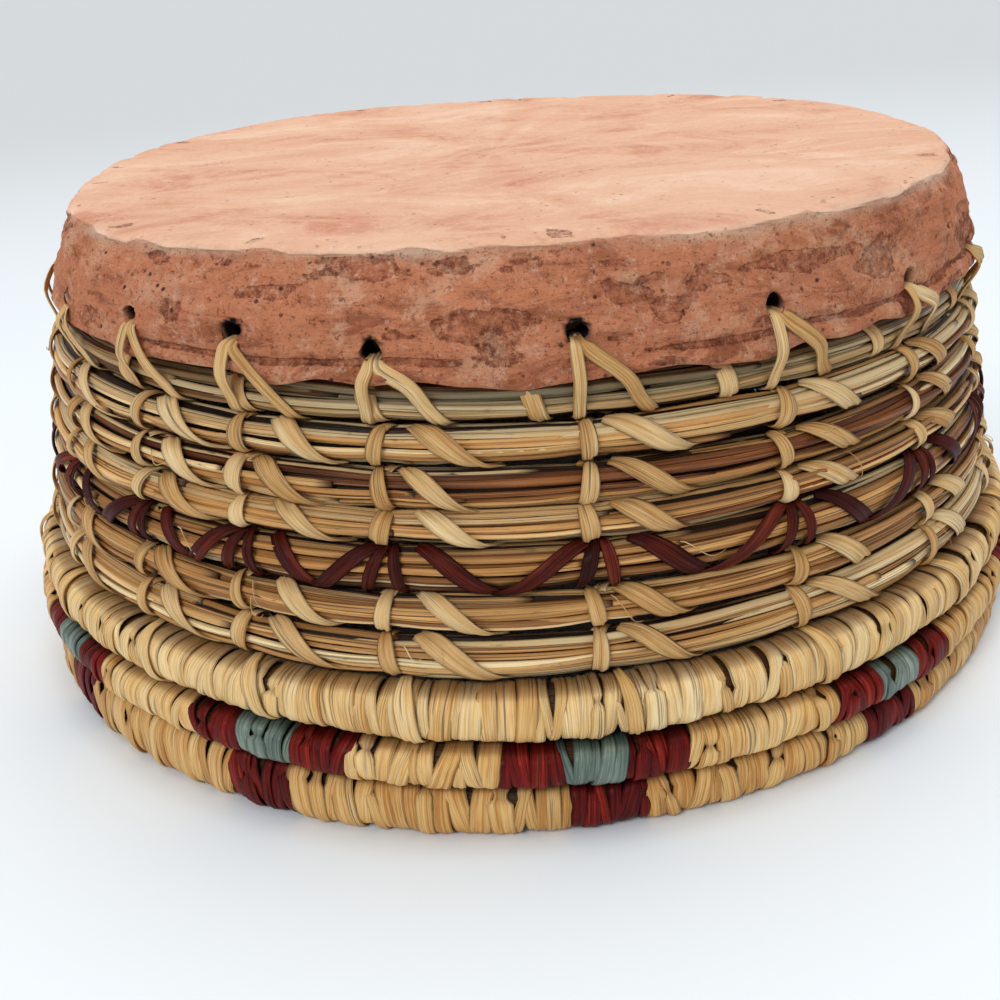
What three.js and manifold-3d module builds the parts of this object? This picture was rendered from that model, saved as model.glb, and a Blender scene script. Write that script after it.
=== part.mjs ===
// Pine needle basket on a hand-built clay base, stood on its rim with the clay upwards.
// Millimetres, +Z up. The origin is the centre of the rim's resting plane, z = 0.
// A bundle of pine needles winds down from the clay in one unbroken coil. Raffia laces each
// turn to the one above, starting from a ring of holes in the clay, and the last turns are
// wrapped all over to make the rim, with blocks of dyed raffia in a stepped pattern.

import * as THREE from "three";
import { mergeVertices } from "three/addons/utils/BufferGeometryUtils.js";
import Module from "manifold-3d";

// Clay dish
const CLAY_HEIGHT = 19.7;
const CLAY_LIP_RADIUS = 96.6;
const CLAY_SHOULDER_RADIUS = 92.4;
const CLAY_FACE_RADIUS = 88.0;
const CLAY_EDGE_ROUND = 5.4;
const CLAY_WALL = 6.2;
const CLAY_FLOOR = 6.8;
const CLAY_SIDES = 40;
const HOLE_SIDES = 6;
const HOLE_DIAMETER = 3.6;
const HOLE_HEIGHT = 6.8;
const HOLE_ANGLE = -82.6;
// Degrees by which each hole strays from even spacing, from the front one round
const HOLE_STRAYS = [-2.5, -0.4, 0.6, 1.6, 0.4, -0.5, 0.7, 0, -0.6, 0.5, 0,
  0.6, 1.2, 0.3, 2.2, 3.1, 4.6, 3.1, -0.9, -3.9];

// Bare needle rows, counted from the clay
const ROW_HEIGHTS = [6.6, 7.1, 6.6, 5.6, 8.0, 6.6, 8.3];
const ROW_WIDTH = 6.8;
// How far the first row's middle lies inside the clay's lip
const FIRST_ROW_INSET = 3.4;
const FIRST_ROW_RADIUS = CLAY_LIP_RADIUS - FIRST_ROW_INSET;
const LAST_ROW_RADIUS = 101.0;
const ZIGZAG_ROW = 4;

// Wrapped rim coils, from the needle rows down
const RIM_RADII = [103.8, 105.4, 104.2];
const RIM_HEIGHTS = [9.9, 8.0, 9.8];
const RIM_WIDTH = 10.0;
const CORE_WIDTH = 6.0;
const CORE_HEIGHT = 5.0;
const MOTIF_ANGLE = -86.4;
// Degrees by which each motif strays from even spacing, from the first one down
const MOTIF_STRAYS = [0, 0.8, 2.0, 4.5, 2.4, -0.4, -1.2, 0, -0.6, 0.7, -0.4];
const MOTIF_COUNT = MOTIF_STRAYS.length;
const TEAL_ARC = 5.6;
const BURGUNDY_ARC = 5.4;
const LOWER_ARC = 7.0;
const BITE_LENGTH = 0.8;
const BITE_WIDTH = 1.8;
const BITE_DEPTH = 0.5;

// Raffia stitches
const RAFFIA_WIDTH = 3.0;
const RAFFIA_THICKNESS = 0.7;
// Height of a row on which a slanted strand lies at its full width; it narrows with the row
const FULL_WIDTH_ROW = 7.0;
const WING_ARC = 9.4;
const HOLE_WING_ARC = 7.2;
// How far from a row's middle a strand ends on it, in half heights
const STRAND_REACH = 0.7;
const TUCK_REACH = 0.8;

// Fits
const TURN_GAP = 0.5;
const FIT_GAP = 0.35;
// A hexagon's slanted sides need more room across to clear by the same gap
const SLANT_FIT = 1.5;

// The coil is drawn in straight steps, and goes down one row in its last steps of each turn
const STEPS = 24;
const CLIMB_STEPS = 2;
// Degrees that the first motif lies before a whole turn of the coil
const START_LEAD = 0.5;
// The needles' and the wrap's tips: share of the climb that they reach, and of the width they keep
const NEEDLE_TIP = { reach: 0.75, width: 0.25 };
const WRAP_TIP = { reach: 0.75, width: 0.35 };
const CORE_END_SETBACK = 0.15;
// The needle coil is made in lengths, cut this many steps before the end of these turns
const COIL_CUT_TURNS = [2, 5, 7];
const CUT_SETBACK = 3.5;
const STEP_ANGLE = 360 / STEPS;
const LOW_STEP = STEPS - CLIMB_STEPS;
const MOTIF_SPACING = 360 / MOTIF_COUNT;
const HOLE_SPACING = 360 / HOLE_STRAYS.length;
const START_ANGLE = MOTIF_ANGLE + MOTIF_SPACING * (MOTIF_COUNT + 1) / 2 + START_LEAD;
const ROW_COUNT = ROW_HEIGHTS.length;
const FIRST_RIM_LEVEL = ROW_COUNT;
const LAST_LEVEL = ROW_COUNT + RIM_RADII.length - 1;

const wasm = await Module();
wasm.setup();

const FINISHES = {
  clay: { color: 0xc98a6e, roughness: 0.92, metalness: 0 },
  needles: { color: 0xa98a52, roughness: 0.55, metalness: 0 },
  straw: { color: 0xdcbc85, roughness: 0.6, metalness: 0 },
  burgundy: { color: 0x5a1f26, roughness: 0.5, metalness: 0 },
  teal: { color: 0x6f8f89, roughness: 0.5, metalness: 0 },
};

// Each row or rim coil: its radius and height, its pitch, and the half sizes of its needle bundle
function listLevels() {
  const rows = [];
  for (let row = 0; row < ROW_COUNT; row += 1) {
    const share = row / Math.max(1, ROW_COUNT - 1);
    const radius = FIRST_ROW_RADIUS + (LAST_ROW_RADIUS - FIRST_ROW_RADIUS) * share;
    const pitch = ROW_HEIGHTS[row];
    rows.push({ radius, pitch, halfWidth: ROW_WIDTH / 2, halfHeight: (pitch - TURN_GAP) / 2 });
  }
  RIM_RADII.forEach((radius, index) => {
    rows.push({ radius, pitch: RIM_HEIGHTS[index], halfWidth: CORE_WIDTH / 2, halfHeight: CORE_HEIGHT / 2 });
  });
  let top = -TURN_GAP / 2;
  for (let index = rows.length - 1; index >= 0; index -= 1) {
    rows[index].height = top + rows[index].pitch / 2;
    top += rows[index].pitch;
  }
  return rows;
}

const LEVELS = listLevels();
const LIP_HEIGHT = LEVELS[0].height + LEVELS[0].halfHeight + FIT_GAP;
const FACE_HEIGHT = LIP_HEIGHT + CLAY_HEIGHT;
const HOLE_LEVEL = LIP_HEIGHT + HOLE_HEIGHT;

function mix(a, b, share) {
  return a + (b - a) * share;
}

function radians(degrees) {
  return THREE.MathUtils.degToRad(degrees);
}

function polar(radius, degrees, height) {
  const angle = radians(degrees);
  return new THREE.Vector3(radius * Math.cos(angle), radius * Math.sin(angle), height);
}

// How many rows down the coil lies at a whole step
function levelAt(step) {
  const turn = Math.floor(step / STEPS);
  const within = step - turn * STEPS;
  const level = turn + Math.max(0, within - LOW_STEP) / CLIMB_STEPS;
  return THREE.MathUtils.clamp(level, 0, LAST_LEVEL);
}

function between(step, pick) {
  const level = levelAt(step);
  const low = Math.floor(level);
  const high = Math.min(low + 1, LAST_LEVEL);
  return mix(pick(LEVELS[low]), pick(LEVELS[high]), level - low);
}

// Section of the bare needle bundle, with a tip that fills the wedge under the clay
function needleSection(step) {
  const section = {
    radius: between(step, (level) => level.radius),
    height: between(step, (level) => level.height),
    halfWidth: between(step, (level) => level.halfWidth),
    halfHeight: between(step, (level) => level.halfHeight),
  };
  if (step < 0) {
    const share = (step + CLIMB_STEPS) / CLIMB_STEPS;
    const top = section.height + section.halfHeight;
    section.halfHeight = (LEVELS[0].pitch * share - TURN_GAP) / 2;
    section.halfWidth *= mix(NEEDLE_TIP.width, 1, share);
    section.height = top - section.halfHeight;
  }
  return section;
}

// Section of the raffia wrap round the rim coils, with a tip at the end of the last turn
function wrapSection(step) {
  const section = {
    radius: between(step, (level) => level.radius),
    height: between(step, (level) => level.height),
    halfWidth: RIM_WIDTH / 2,
    halfHeight: between(step, (level) => level.pitch - TURN_GAP) / 2,
  };
  const past = step - (LAST_LEVEL * STEPS + LOW_STEP);
  if (past > 0) {
    const share = 1 - past / CLIMB_STEPS;
    section.halfHeight = (LEVELS[LAST_LEVEL].pitch * share - TURN_GAP) / 2;
    section.halfWidth *= mix(WRAP_TIP.width, 1, share);
    section.height = section.halfHeight;
  }
  return section;
}

// The hole through the wrap, which clears the needles inside it
function boreSection(step) {
  const section = needleSection(step);
  section.halfWidth += SLANT_FIT * FIT_GAP;
  section.halfHeight += FIT_GAP;
  return section;
}

// A point on a section: across and up in half sizes, and out by a length
function sectionPoint(shape, step, across, up, out) {
  const section = shape(step);
  const radius = section.radius + across * section.halfWidth + out;
  const height = section.height + up * section.halfHeight;
  return polar(radius, START_ANGLE + step * STEP_ANGLE, height);
}

// The same point anywhere along the coil, on the straight run between two whole steps
function ride(shape, place, across, up, out = 0) {
  const step = Math.floor(place);
  const start = sectionPoint(shape, step, across, up, out);
  const share = place - step;
  if (share === 0) {
    return start;
  }
  return start.lerp(sectionPoint(shape, step + 1, across, up, out), share);
}

const HEXAGON = [[1, 0], [0.5, 1], [-0.5, 1], [-1, 0], [-0.5, -1], [0.5, -1]];

function hexagonRing(shape, place) {
  return HEXAGON.map(([across, up]) => ride(shape, place, across, up));
}

// Whole steps between two places, with the places themselves
function placesBetween(first, last) {
  const places = [first];
  for (let step = Math.floor(first) + 1; step < last; step += 1) {
    places.push(step);
  }
  places.push(last);
  return places;
}

// Join rings of points into faces, ring by ring
function wallFaces(rings, start, inward) {
  const faces = [];
  const count = rings[0].length;
  for (let ring = 0; ring < rings.length - 1; ring += 1) {
    for (let side = 0; side < count; side += 1) {
      const next = (side + 1) % count;
      const a = start + ring * count + side;
      const b = start + ring * count + next;
      const c = a + count;
      const d = b + count;
      faces.push(inward ? [a, b, c] : [a, c, b]);
      faces.push(inward ? [b, d, c] : [b, c, d]);
    }
  }
  return faces;
}

function solidFrom(points, faces) {
  const vertProperties = new Float32Array(points.length * 3);
  points.forEach((point, index) => point.toArray(vertProperties, index * 3));
  const order = signedVolume(points, faces) > 0 ? (face) => face : ([a, b, c]) => [a, c, b];
  const triVerts = new Uint32Array(faces.flatMap(order));
  return new wasm.Manifold(new wasm.Mesh({ numProp: 3, vertProperties, triVerts }));
}

function signedVolume(points, faces) {
  const cross = new THREE.Vector3();
  return faces.reduce((sum, [a, b, c]) => {
    cross.crossVectors(points[b], points[c]);
    return sum + points[a].dot(cross);
  }, 0);
}

// A solid with a wall through the rings and a flat cap at each end
function loft(rings) {
  const count = rings[0].length;
  const faces = wallFaces(rings, 0, false);
  const last = (rings.length - 1) * count;
  for (let side = 1; side < count - 1; side += 1) {
    faces.push([0, side, side + 1]);
    faces.push([last, last + side + 1, last + side]);
  }
  return solidFrom(rings.flat(), faces);
}

// A sleeve with an outer wall, a bore and a ring at each end
function sleeve(first, last) {
  const places = placesBetween(first, last);
  const outer = places.map((place) => hexagonRing(wrapSection, place));
  const bore = places.map((place) => hexagonRing(boreSection, place));
  const count = HEXAGON.length;
  const start = outer.length * count;
  const faces = wallFaces(outer, 0, false).concat(wallFaces(bore, start, true));
  const end = (outer.length - 1) * count;
  for (let side = 0; side < count; side += 1) {
    const next = (side + 1) % count;
    faces.push([side, next, start + side], [next, start + next, start + side]);
    faces.push([end + side, start + end + side, end + next]);
    faces.push([end + next, start + end + side, start + end + next]);
  }
  return solidFrom(outer.flat().concat(bore.flat()), faces);
}

// A stitch that bites from a wrapped coil down into the wrapped coil below it
function bite(place) {
  const below = place + STEPS;
  const reach = BITE_LENGTH / 2 / stepLength(place);
  const upper = wrapSection(Math.round(place));
  const lower = wrapSection(Math.round(below));
  const middle = (upper.radius + lower.radius) / 2;
  const rings = [-reach, reach].map((shift) => {
    const top = (side) => ride(wrapSection, place + shift, 0, -1, middle - upper.radius + side);
    const bottom = (side) => ride(wrapSection, below + shift, 0, 1, middle - lower.radius + side);
    const half = BITE_WIDTH / 2;
    const ring = [top(-half), top(half), bottom(half), bottom(-half)];
    ring[0].z += BITE_DEPTH;
    ring[1].z += BITE_DEPTH;
    ring[2].z -= BITE_DEPTH;
    ring[3].z -= BITE_DEPTH;
    return ring;
  });
  return loft(rings);
}

function stepLength(place) {
  return radians(STEP_ANGLE) * wrapSection(Math.floor(place)).radius;
}

function union(solids) {
  return solids.reduce((whole, piece) => whole.add(piece));
}

function meshOf(solid, name, finish) {
  const { vertProperties, triVerts, numProp } = solid.getMesh();
  const points = new Float32Array(vertProperties.length / numProp * 3);
  for (let vertex = 0; vertex < points.length / 3; vertex += 1) {
    for (let axis = 0; axis < 3; axis += 1) {
      points[vertex * 3 + axis] = vertProperties[vertex * numProp + axis];
    }
  }
  const geometry = new THREE.BufferGeometry();
  geometry.setAttribute("position", new THREE.BufferAttribute(points, 3));
  geometry.setIndex(new THREE.BufferAttribute(new Uint32Array(triVerts), 1));
  const mesh = new THREE.Mesh(geometry, new THREE.MeshStandardMaterial(FINISHES[finish]));
  mesh.name = name;
  return mesh;
}

function numbered(name, index) {
  return `${name}_${String(index + 1).padStart(2, "0")}`;
}

// Clay dish

function clayWallRadius(height) {
  const share = (height - LIP_HEIGHT) / (CLAY_HEIGHT - CLAY_EDGE_ROUND);
  return mix(CLAY_LIP_RADIUS, CLAY_SHOULDER_RADIUS, THREE.MathUtils.clamp(share, 0, 1));
}

function clayInnerRadius(height) {
  return (clayWallRadius(height) - CLAY_WALL) * Math.cos(Math.PI / CLAY_SIDES);
}

function clayProfile() {
  const shoulder = FACE_HEIGHT - CLAY_EDGE_ROUND;
  const inside = CLAY_LIP_RADIUS - CLAY_WALL;
  const ceiling = FACE_HEIGHT - CLAY_FLOOR;
  const fillet = CLAY_EDGE_ROUND / 2;
  const innerShoulder = clayWallRadius(ceiling - fillet) - CLAY_WALL;
  const edge = new THREE.Vector2(CLAY_SHOULDER_RADIUS - CLAY_FACE_RADIUS, CLAY_EDGE_ROUND);
  const halfway = Math.SQRT1_2;
  return [
    new THREE.Vector2(0, ceiling),
    new THREE.Vector2(innerShoulder - fillet, ceiling),
    new THREE.Vector2(innerShoulder, ceiling - fillet),
    new THREE.Vector2(inside, LIP_HEIGHT),
    new THREE.Vector2(CLAY_LIP_RADIUS, LIP_HEIGHT),
    new THREE.Vector2(CLAY_SHOULDER_RADIUS, shoulder),
    new THREE.Vector2(CLAY_FACE_RADIUS + edge.x * halfway, shoulder + edge.y * halfway),
    new THREE.Vector2(CLAY_FACE_RADIUS, FACE_HEIGHT),
    new THREE.Vector2(0, FACE_HEIGHT),
  ];
}

function solidOf(geometry) {
  geometry.deleteAttribute("normal");
  geometry.deleteAttribute("uv");
  const merged = mergeVertices(geometry);
  const points = [];
  const faces = [];
  for (let vertex = 0; vertex < merged.attributes.position.count; vertex += 1) {
    points.push(new THREE.Vector3().fromBufferAttribute(merged.attributes.position, vertex));
  }
  for (let corner = 0; corner < merged.index.count; corner += 3) {
    const face = [0, 1, 2].map((side) => merged.index.getX(corner + side));
    if (new Set(face).size === 3) {
      faces.push(face);
    }
  }
  return solidFrom(points, faces);
}

function holeAngle(index) {
  return HOLE_ANGLE + HOLE_SPACING * index + HOLE_STRAYS[index];
}

function holeCutter(index) {
  const radius = clayWallRadius(HOLE_LEVEL);
  const cutter = new THREE.CylinderGeometry(HOLE_DIAMETER / 2, HOLE_DIAMETER / 2, CLAY_WALL * 3, HOLE_SIDES);
  cutter.rotateZ(Math.PI / 2);
  cutter.translate(radius - CLAY_WALL / 2, 0, 0);
  cutter.rotateZ(radians(holeAngle(index)));
  cutter.translate(0, 0, HOLE_LEVEL);
  return solidOf(cutter);
}

function makeClayBase() {
  const dish = new THREE.LatheGeometry(clayProfile(), CLAY_SIDES);
  dish.rotateX(Math.PI / 2);
  let solid = solidOf(dish);
  HOLE_STRAYS.forEach((stray, index) => {
    solid = solid.subtract(holeCutter(index));
  });
  return meshOf(solid, "clay_base", "clay");
}

// Needle coil

const COIL_START = -NEEDLE_TIP.reach * CLIMB_STEPS;
const COIL_END = LAST_LEVEL * STEPS + LOW_STEP - CORE_END_SETBACK;

const COIL_CUTS = COIL_CUT_TURNS.map((turn) => turn * STEPS - CUT_SETBACK);
const COIL_GAP = FIT_GAP / (radians(STEP_ANGLE) * FIRST_ROW_RADIUS);

// One length of the coil, which ends just before the next one starts
function makeNeedleLength(index) {
  const first = index === 0 ? COIL_START : COIL_CUTS[index - 1] + COIL_GAP;
  const last = index === COIL_CUTS.length ? COIL_END : COIL_CUTS[index];
  const rings = placesBetween(first, last).map((place) => hexagonRing(needleSection, place));
  return meshOf(loft(rings), numbered("needle_coil", index), "needles");
}

// Least distance between the under side of each turn and the upper side of the turn below
function leastTurnGap(shape, first, last) {
  const samples = 12;
  let least = Infinity;
  for (let step = Math.ceil(first); step + STEPS <= last; step += 1) {
    for (let a = 0; a <= samples; a += 1) {
      const under = ride(shape, step, a / samples - 0.5, -1);
      for (let b = 0; b <= samples; b += 1) {
        const upper = ride(shape, step + STEPS, b / samples - 0.5, 1);
        least = Math.min(least, under.distanceTo(upper));
      }
    }
  }
  return least;
}

// Wrapped rim

const FIRST_MOTIF = FIRST_RIM_LEVEL * STEPS + STEPS - START_LEAD / STEP_ANGLE;
const MOTIF_STEP = MOTIF_SPACING / STEP_ANGLE;
const TEAL_HALF = TEAL_ARC / 2 / STEP_ANGLE;
const MOTIF_HALF = TEAL_HALF + BURGUNDY_ARC / STEP_ANGLE;
const LOWER_HALF = LOWER_ARC / 2 / STEP_ANGLE;
const BLOCK_GAP = FIT_GAP / (radians(STEP_ANGLE) * Math.min(...RIM_RADII));

function motifPlace(index) {
  return FIRST_MOTIF + MOTIF_STEP * index + MOTIF_STRAYS[index % MOTIF_COUNT] / STEP_ANGLE;
}

function makeUpperWrap() {
  const wrap = sleeve(FIRST_RIM_LEVEL * STEPS, motifPlace(0) - MOTIF_HALF - BLOCK_GAP);
  return meshOf(wrap, "rim_wrap_upper", "straw");
}

function makeTealBlock(index) {
  const place = motifPlace(index);
  return meshOf(sleeve(place - TEAL_HALF, place + TEAL_HALF), numbered("rim_teal", index), "teal");
}

// The two blocks beside the teal and the block under it, worked with one dyed strand
function makeBurgundyBlocks(index) {
  const place = motifPlace(index);
  const below = place + STEPS;
  const side = TEAL_HALF + BLOCK_GAP;
  const corner = (TEAL_HALF + BLOCK_GAP + LOWER_HALF) / 2;
  const blocks = union([
    sleeve(place - MOTIF_HALF, place - side),
    sleeve(place + side, place + MOTIF_HALF),
    sleeve(below - LOWER_HALF, below + LOWER_HALF),
    bite(place - corner),
    bite(place + corner),
  ]);
  return meshOf(blocks, numbered("rim_burgundy", index), "burgundy");
}

// Plain raffia between two motifs on the middle coil, and the raffia below it
function makeStrawBlocks(index) {
  const place = motifPlace(index);
  const next = motifPlace(index + 1);
  const isLast = index === MOTIF_COUNT - 1;
  const middleEnd = next - (isLast ? LOWER_HALF : MOTIF_HALF) - BLOCK_GAP;
  const middle = sleeve(place + MOTIF_HALF + BLOCK_GAP, middleEnd);
  const lowerStart = place + STEPS + LOWER_HALF + BLOCK_GAP;
  const lower = isLast ? makeWrapTip(lowerStart) : sleeve(lowerStart, next + STEPS - LOWER_HALF - BLOCK_GAP);
  const stitch = bite((place + next) / 2);
  return meshOf(union([middle, lower, stitch]), numbered("rim_straw", index), "straw");
}

function makeWrapTip(start) {
  const end = LAST_LEVEL * STEPS + LOW_STEP + WRAP_TIP.reach * CLIMB_STEPS;
  return loft(placesBetween(start, end).map((place) => hexagonRing(wrapSection, place)));
}

// Raffia stitches

const HALF_STRAND = RAFFIA_WIDTH / 2;
const HOLE_PEG = HOLE_DIAMETER / 2 - FIT_GAP;
// Corners of the strand in a hole, up, down and sideways from its middle
const PEG_TOP = HOLE_PEG * 0.8;
const PEG_FOOT = HOLE_PEG * 0.5;

// Where a column of stitches crosses a turn of the coil
function columnPlace(index, turn) {
  const from = THREE.MathUtils.euclideanModulo(holeAngle(index) - START_ANGLE, 360);
  return turn * STEPS + from / STEP_ANGLE;
}

// How far out the side of the needle bundle lies at a height given in half heights
function sideAt(up) {
  return 1 - Math.min(1, Math.abs(up)) / 2;
}

// Three points of a strand that runs up and down: one on the needles and two outside
function uprightRing(place, up, side = 1, lift = 0) {
  const spread = HALF_STRAND / stepLength(place);
  const across = side * sideAt(up);
  const near = FIT_GAP + lift;
  const far = near + RAFFIA_THICKNESS;
  return [
    ride(needleSection, place, across, up, side * near),
    ride(needleSection, place - side * spread, across, up, side * far),
    ride(needleSection, place + side * spread, across, up, side * far),
  ];
}

// Three points of a strand that runs along the coil
function slantedRing(place, up, lift = 0) {
  const out = FIT_GAP + lift;
  const ring = [
    ride(needleSection, place, sideAt(up), up, out),
    ride(needleSection, place, sideAt(up), up, out + RAFFIA_THICKNESS),
    ride(needleSection, place, sideAt(up), up, out + RAFFIA_THICKNESS),
  ];
  const row = between(Math.round(place), (level) => level.halfHeight);
  const reach = RAFFIA_WIDTH * row / FULL_WIDTH_ROW;
  ring[1].z += reach;
  ring[2].z -= reach;
  return ring;
}

function clayRing(radius, degrees, height, side = 1) {
  const far = radius + side * RAFFIA_THICKNESS;
  const spread = THREE.MathUtils.radToDeg(HALF_STRAND / radius);
  return [
    polar(radius, degrees, height),
    polar(far, degrees - side * spread, height),
    polar(far, degrees + side * spread, height),
  ];
}

// A strand in the groove between a turn and the turn below it, clear of the wider of the two
function grooveRing(index, turn) {
  const above = uprightRing(columnPlace(index, turn), -1);
  const under = uprightRing(columnPlace(index, turn + 1), 1);
  const wider = Math.hypot(above[0].x, above[0].y) > Math.hypot(under[0].x, under[0].y) ? above : under;
  const middle = (above[0].z + under[0].z) / 2;
  return wider.map((point) => new THREE.Vector3(point.x, point.y, middle));
}

function makeColumn(index) {
  const angle = holeAngle(index);
  const outside = (height) => clayWallRadius(height) + FIT_GAP;
  const rings = [
    clayRing(outside(HOLE_LEVEL + HOLE_PEG), angle, HOLE_LEVEL + HOLE_PEG),
    clayRing(outside(LIP_HEIGHT), angle, LIP_HEIGHT),
  ];
  for (let turn = 0; turn < ROW_COUNT; turn += 1) {
    rings.push(uprightRing(columnPlace(index, turn), 0));
    if (turn < ROW_COUNT - 1) {
      rings.push(grooveRing(index, turn));
    }
  }
  rings.push(uprightRing(columnPlace(index, ROW_COUNT - 1), -STRAND_REACH));
  return loft(rings);
}

// The strand that slants from a column down across one row
function makeWing(index, turn) {
  const start = columnPlace(index, turn);
  const end = start + WING_ARC / STEP_ANGLE;
  const upAt = (place) => mix(STRAND_REACH, -STRAND_REACH, (place - start) / (end - start));
  const places = placesBetween(start, end);
  places.push((start + end) / 2);
  places.sort((a, b) => a - b);
  return loft(places.map((place) => slantedRing(place, upAt(place))));
}

// The strand that slants from a hole over the lip and the first row
function makeHoleWing(index) {
  const angle = holeAngle(index);
  const foot = columnPlace(index, 0) + HOLE_WING_ARC / STEP_ANGLE;
  const share = HOLE_HEIGHT / (HOLE_HEIGHT + LEVELS[0].pitch);
  const rings = [
    clayRing(clayWallRadius(HOLE_LEVEL) + FIT_GAP, angle, HOLE_LEVEL),
    clayRing(CLAY_LIP_RADIUS + FIT_GAP, angle + HOLE_WING_ARC * share, LIP_HEIGHT),
    uprightRing(mix(columnPlace(index, 0), foot, (share + 1) / 2), 0, 1, FIT_GAP),
    uprightRing(foot, -TUCK_REACH),
  ];
  return loft(rings);
}

// The strand in the hole, and its way down inside the dish over the first row
function makeHolePeg(index) {
  const angle = holeAngle(index);
  const outer = clayWallRadius(HOLE_LEVEL) + FIT_GAP + RAFFIA_THICKNESS / 2;
  const inner = clayInnerRadius(HOLE_LEVEL) - FIT_GAP - RAFFIA_THICKNESS / 2;
  const spread = THREE.MathUtils.radToDeg(PEG_TOP / outer);
  const ring = (radius) => [
    polar(radius, angle, HOLE_LEVEL + PEG_TOP),
    polar(radius, angle - spread, HOLE_LEVEL - PEG_FOOT),
    polar(radius, angle + spread, HOLE_LEVEL - PEG_FOOT),
  ];
  return loft([ring(inner), ring(outer)]);
}

function makeInnerStrand(index) {
  const angle = holeAngle(index);
  const first = columnPlace(index, 0);
  const inside = (height) => clayInnerRadius(height) - FIT_GAP;
  return loft([
    clayRing(inside(HOLE_LEVEL + HOLE_PEG), angle, HOLE_LEVEL + HOLE_PEG, -1),
    clayRing(inside(LIP_HEIGHT), angle, LIP_HEIGHT, -1),
    uprightRing(first, 0, -1),
    uprightRing(first, -TUCK_REACH, -1),
  ]);
}

function makeLacing(index) {
  const strands = [makeColumn(index), makeHoleWing(index), makeHolePeg(index), makeInnerStrand(index)];
  for (let turn = 1; turn < ROW_COUNT; turn += 1) {
    if (turn !== ZIGZAG_ROW) {
      strands.push(makeWing(index, turn));
    }
  }
  return meshOf(union(strands), numbered("lacing", index), "straw");
}

// Burgundy zigzag over one row, with a peak over each column of straw stitches
function makeZigzag() {
  const lift = RAFFIA_THICKNESS + 2 * FIT_GAP;
  const peaks = HOLE_STRAYS.map((stray, index) => columnPlace(index, ZIGZAG_ROW));
  peaks.sort((a, b) => a - b);
  const corners = peaks.flatMap((peak, index) => {
    const corner = { place: peak, up: STRAND_REACH };
    if (index === peaks.length - 1) {
      return [corner];
    }
    return [corner, { place: (peak + peaks[index + 1]) / 2, up: -STRAND_REACH }];
  });
  const rings = [];
  corners.forEach((corner, index) => {
    rings.push(zigzagRing(corner.place, corner.up, lift));
    const next = corners[index + 1];
    if (next) {
      const stops = placesBetween(corner.place, next.place).slice(1, -1);
      stops.push((corner.place + next.place) / 2);
      stops.sort((a, b) => a - b);
      stops.forEach((place) => {
        const share = (place - corner.place) / (next.place - corner.place);
        rings.push(zigzagRing(place, mix(corner.up, next.up, share), lift));
      });
    }
  });
  const pairs = peaks.map((peak) => {
    const belly = uprightRing(peak, 0, 1, lift);
    const drop = LEVELS[ZIGZAG_ROW].pitch / 3;
    const foot = belly.map((point) => new THREE.Vector3(point.x, point.y, point.z - drop));
    return loft([uprightRing(peak, STRAND_REACH, 1, lift), belly, foot]);
  });
  return meshOf(union([loft(rings), ...pairs]), "zigzag_stitch", "burgundy");
}

// The zigzag lies over the upright stitches at its peaks and on the needles at its valleys
function zigzagRing(place, up, lift) {
  return slantedRing(place, up, lift * (up / STRAND_REACH + 1) / 2);
}

const basket = new THREE.Group();
basket.name = "pine_needle_basket";
basket.add(makeClayBase());
for (let length = 0; length <= COIL_CUTS.length; length += 1) {
  basket.add(makeNeedleLength(length));
}
HOLE_STRAYS.forEach((stray, index) => basket.add(makeLacing(index)));
basket.add(makeZigzag());
basket.add(makeUpperWrap());
for (let motif = 0; motif < MOTIF_COUNT; motif += 1) {
  basket.add(makeTealBlock(motif));
  basket.add(makeBurgundyBlocks(motif));
  basket.add(makeStrawBlocks(motif));
}

const needleGap = leastTurnGap(needleSection, COIL_START, COIL_END);
const wrapGap = leastTurnGap(wrapSection, FIRST_RIM_LEVEL * STEPS, (LAST_LEVEL + 1) * STEPS - CLIMB_STEPS);
console.log(`least gap between turns: needles ${needleGap.toFixed(2)} mm, wrap ${wrapGap.toFixed(2)} mm`);

export default basket;
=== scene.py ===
"""Pine needle basket on a hand-built clay base, stood on its rim with the clay upwards.

Shapes are worked out in millimetres in the basket's own frame: +Z up, the origin at the centre
of the rim's resting plane and the front towards -Y. Meshes are written in metres.

A bundle of needles winds down from the clay. A place along it is counted in steps of 15 degrees
from its start at the back, so a place of 24 is one whole turn and one row further down. Round the
bundle an angle is counted from the outside, 0, over the top, a quarter turn.
"""
import logging
from dataclasses import dataclass, field
from enum import Enum

import bmesh
import bpy
import numpy as np
from mathutils import Matrix, Vector

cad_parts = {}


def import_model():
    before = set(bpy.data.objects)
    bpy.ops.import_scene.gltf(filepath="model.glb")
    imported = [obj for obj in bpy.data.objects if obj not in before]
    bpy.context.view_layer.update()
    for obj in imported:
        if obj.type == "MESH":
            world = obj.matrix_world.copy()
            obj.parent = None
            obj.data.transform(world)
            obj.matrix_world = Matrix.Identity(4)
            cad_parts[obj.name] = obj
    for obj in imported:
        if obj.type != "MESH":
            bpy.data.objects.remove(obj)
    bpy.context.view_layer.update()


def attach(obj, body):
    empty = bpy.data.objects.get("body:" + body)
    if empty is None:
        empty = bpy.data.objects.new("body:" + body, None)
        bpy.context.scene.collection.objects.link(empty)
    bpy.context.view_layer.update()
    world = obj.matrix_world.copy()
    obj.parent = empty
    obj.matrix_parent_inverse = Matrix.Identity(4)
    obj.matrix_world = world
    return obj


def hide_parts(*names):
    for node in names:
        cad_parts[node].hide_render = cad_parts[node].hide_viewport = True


log = logging.getLogger("pine_needle_basket")

Array = np.ndarray
MM = 0.001
TAU = 2 * np.pi
BODY = "root"


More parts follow.
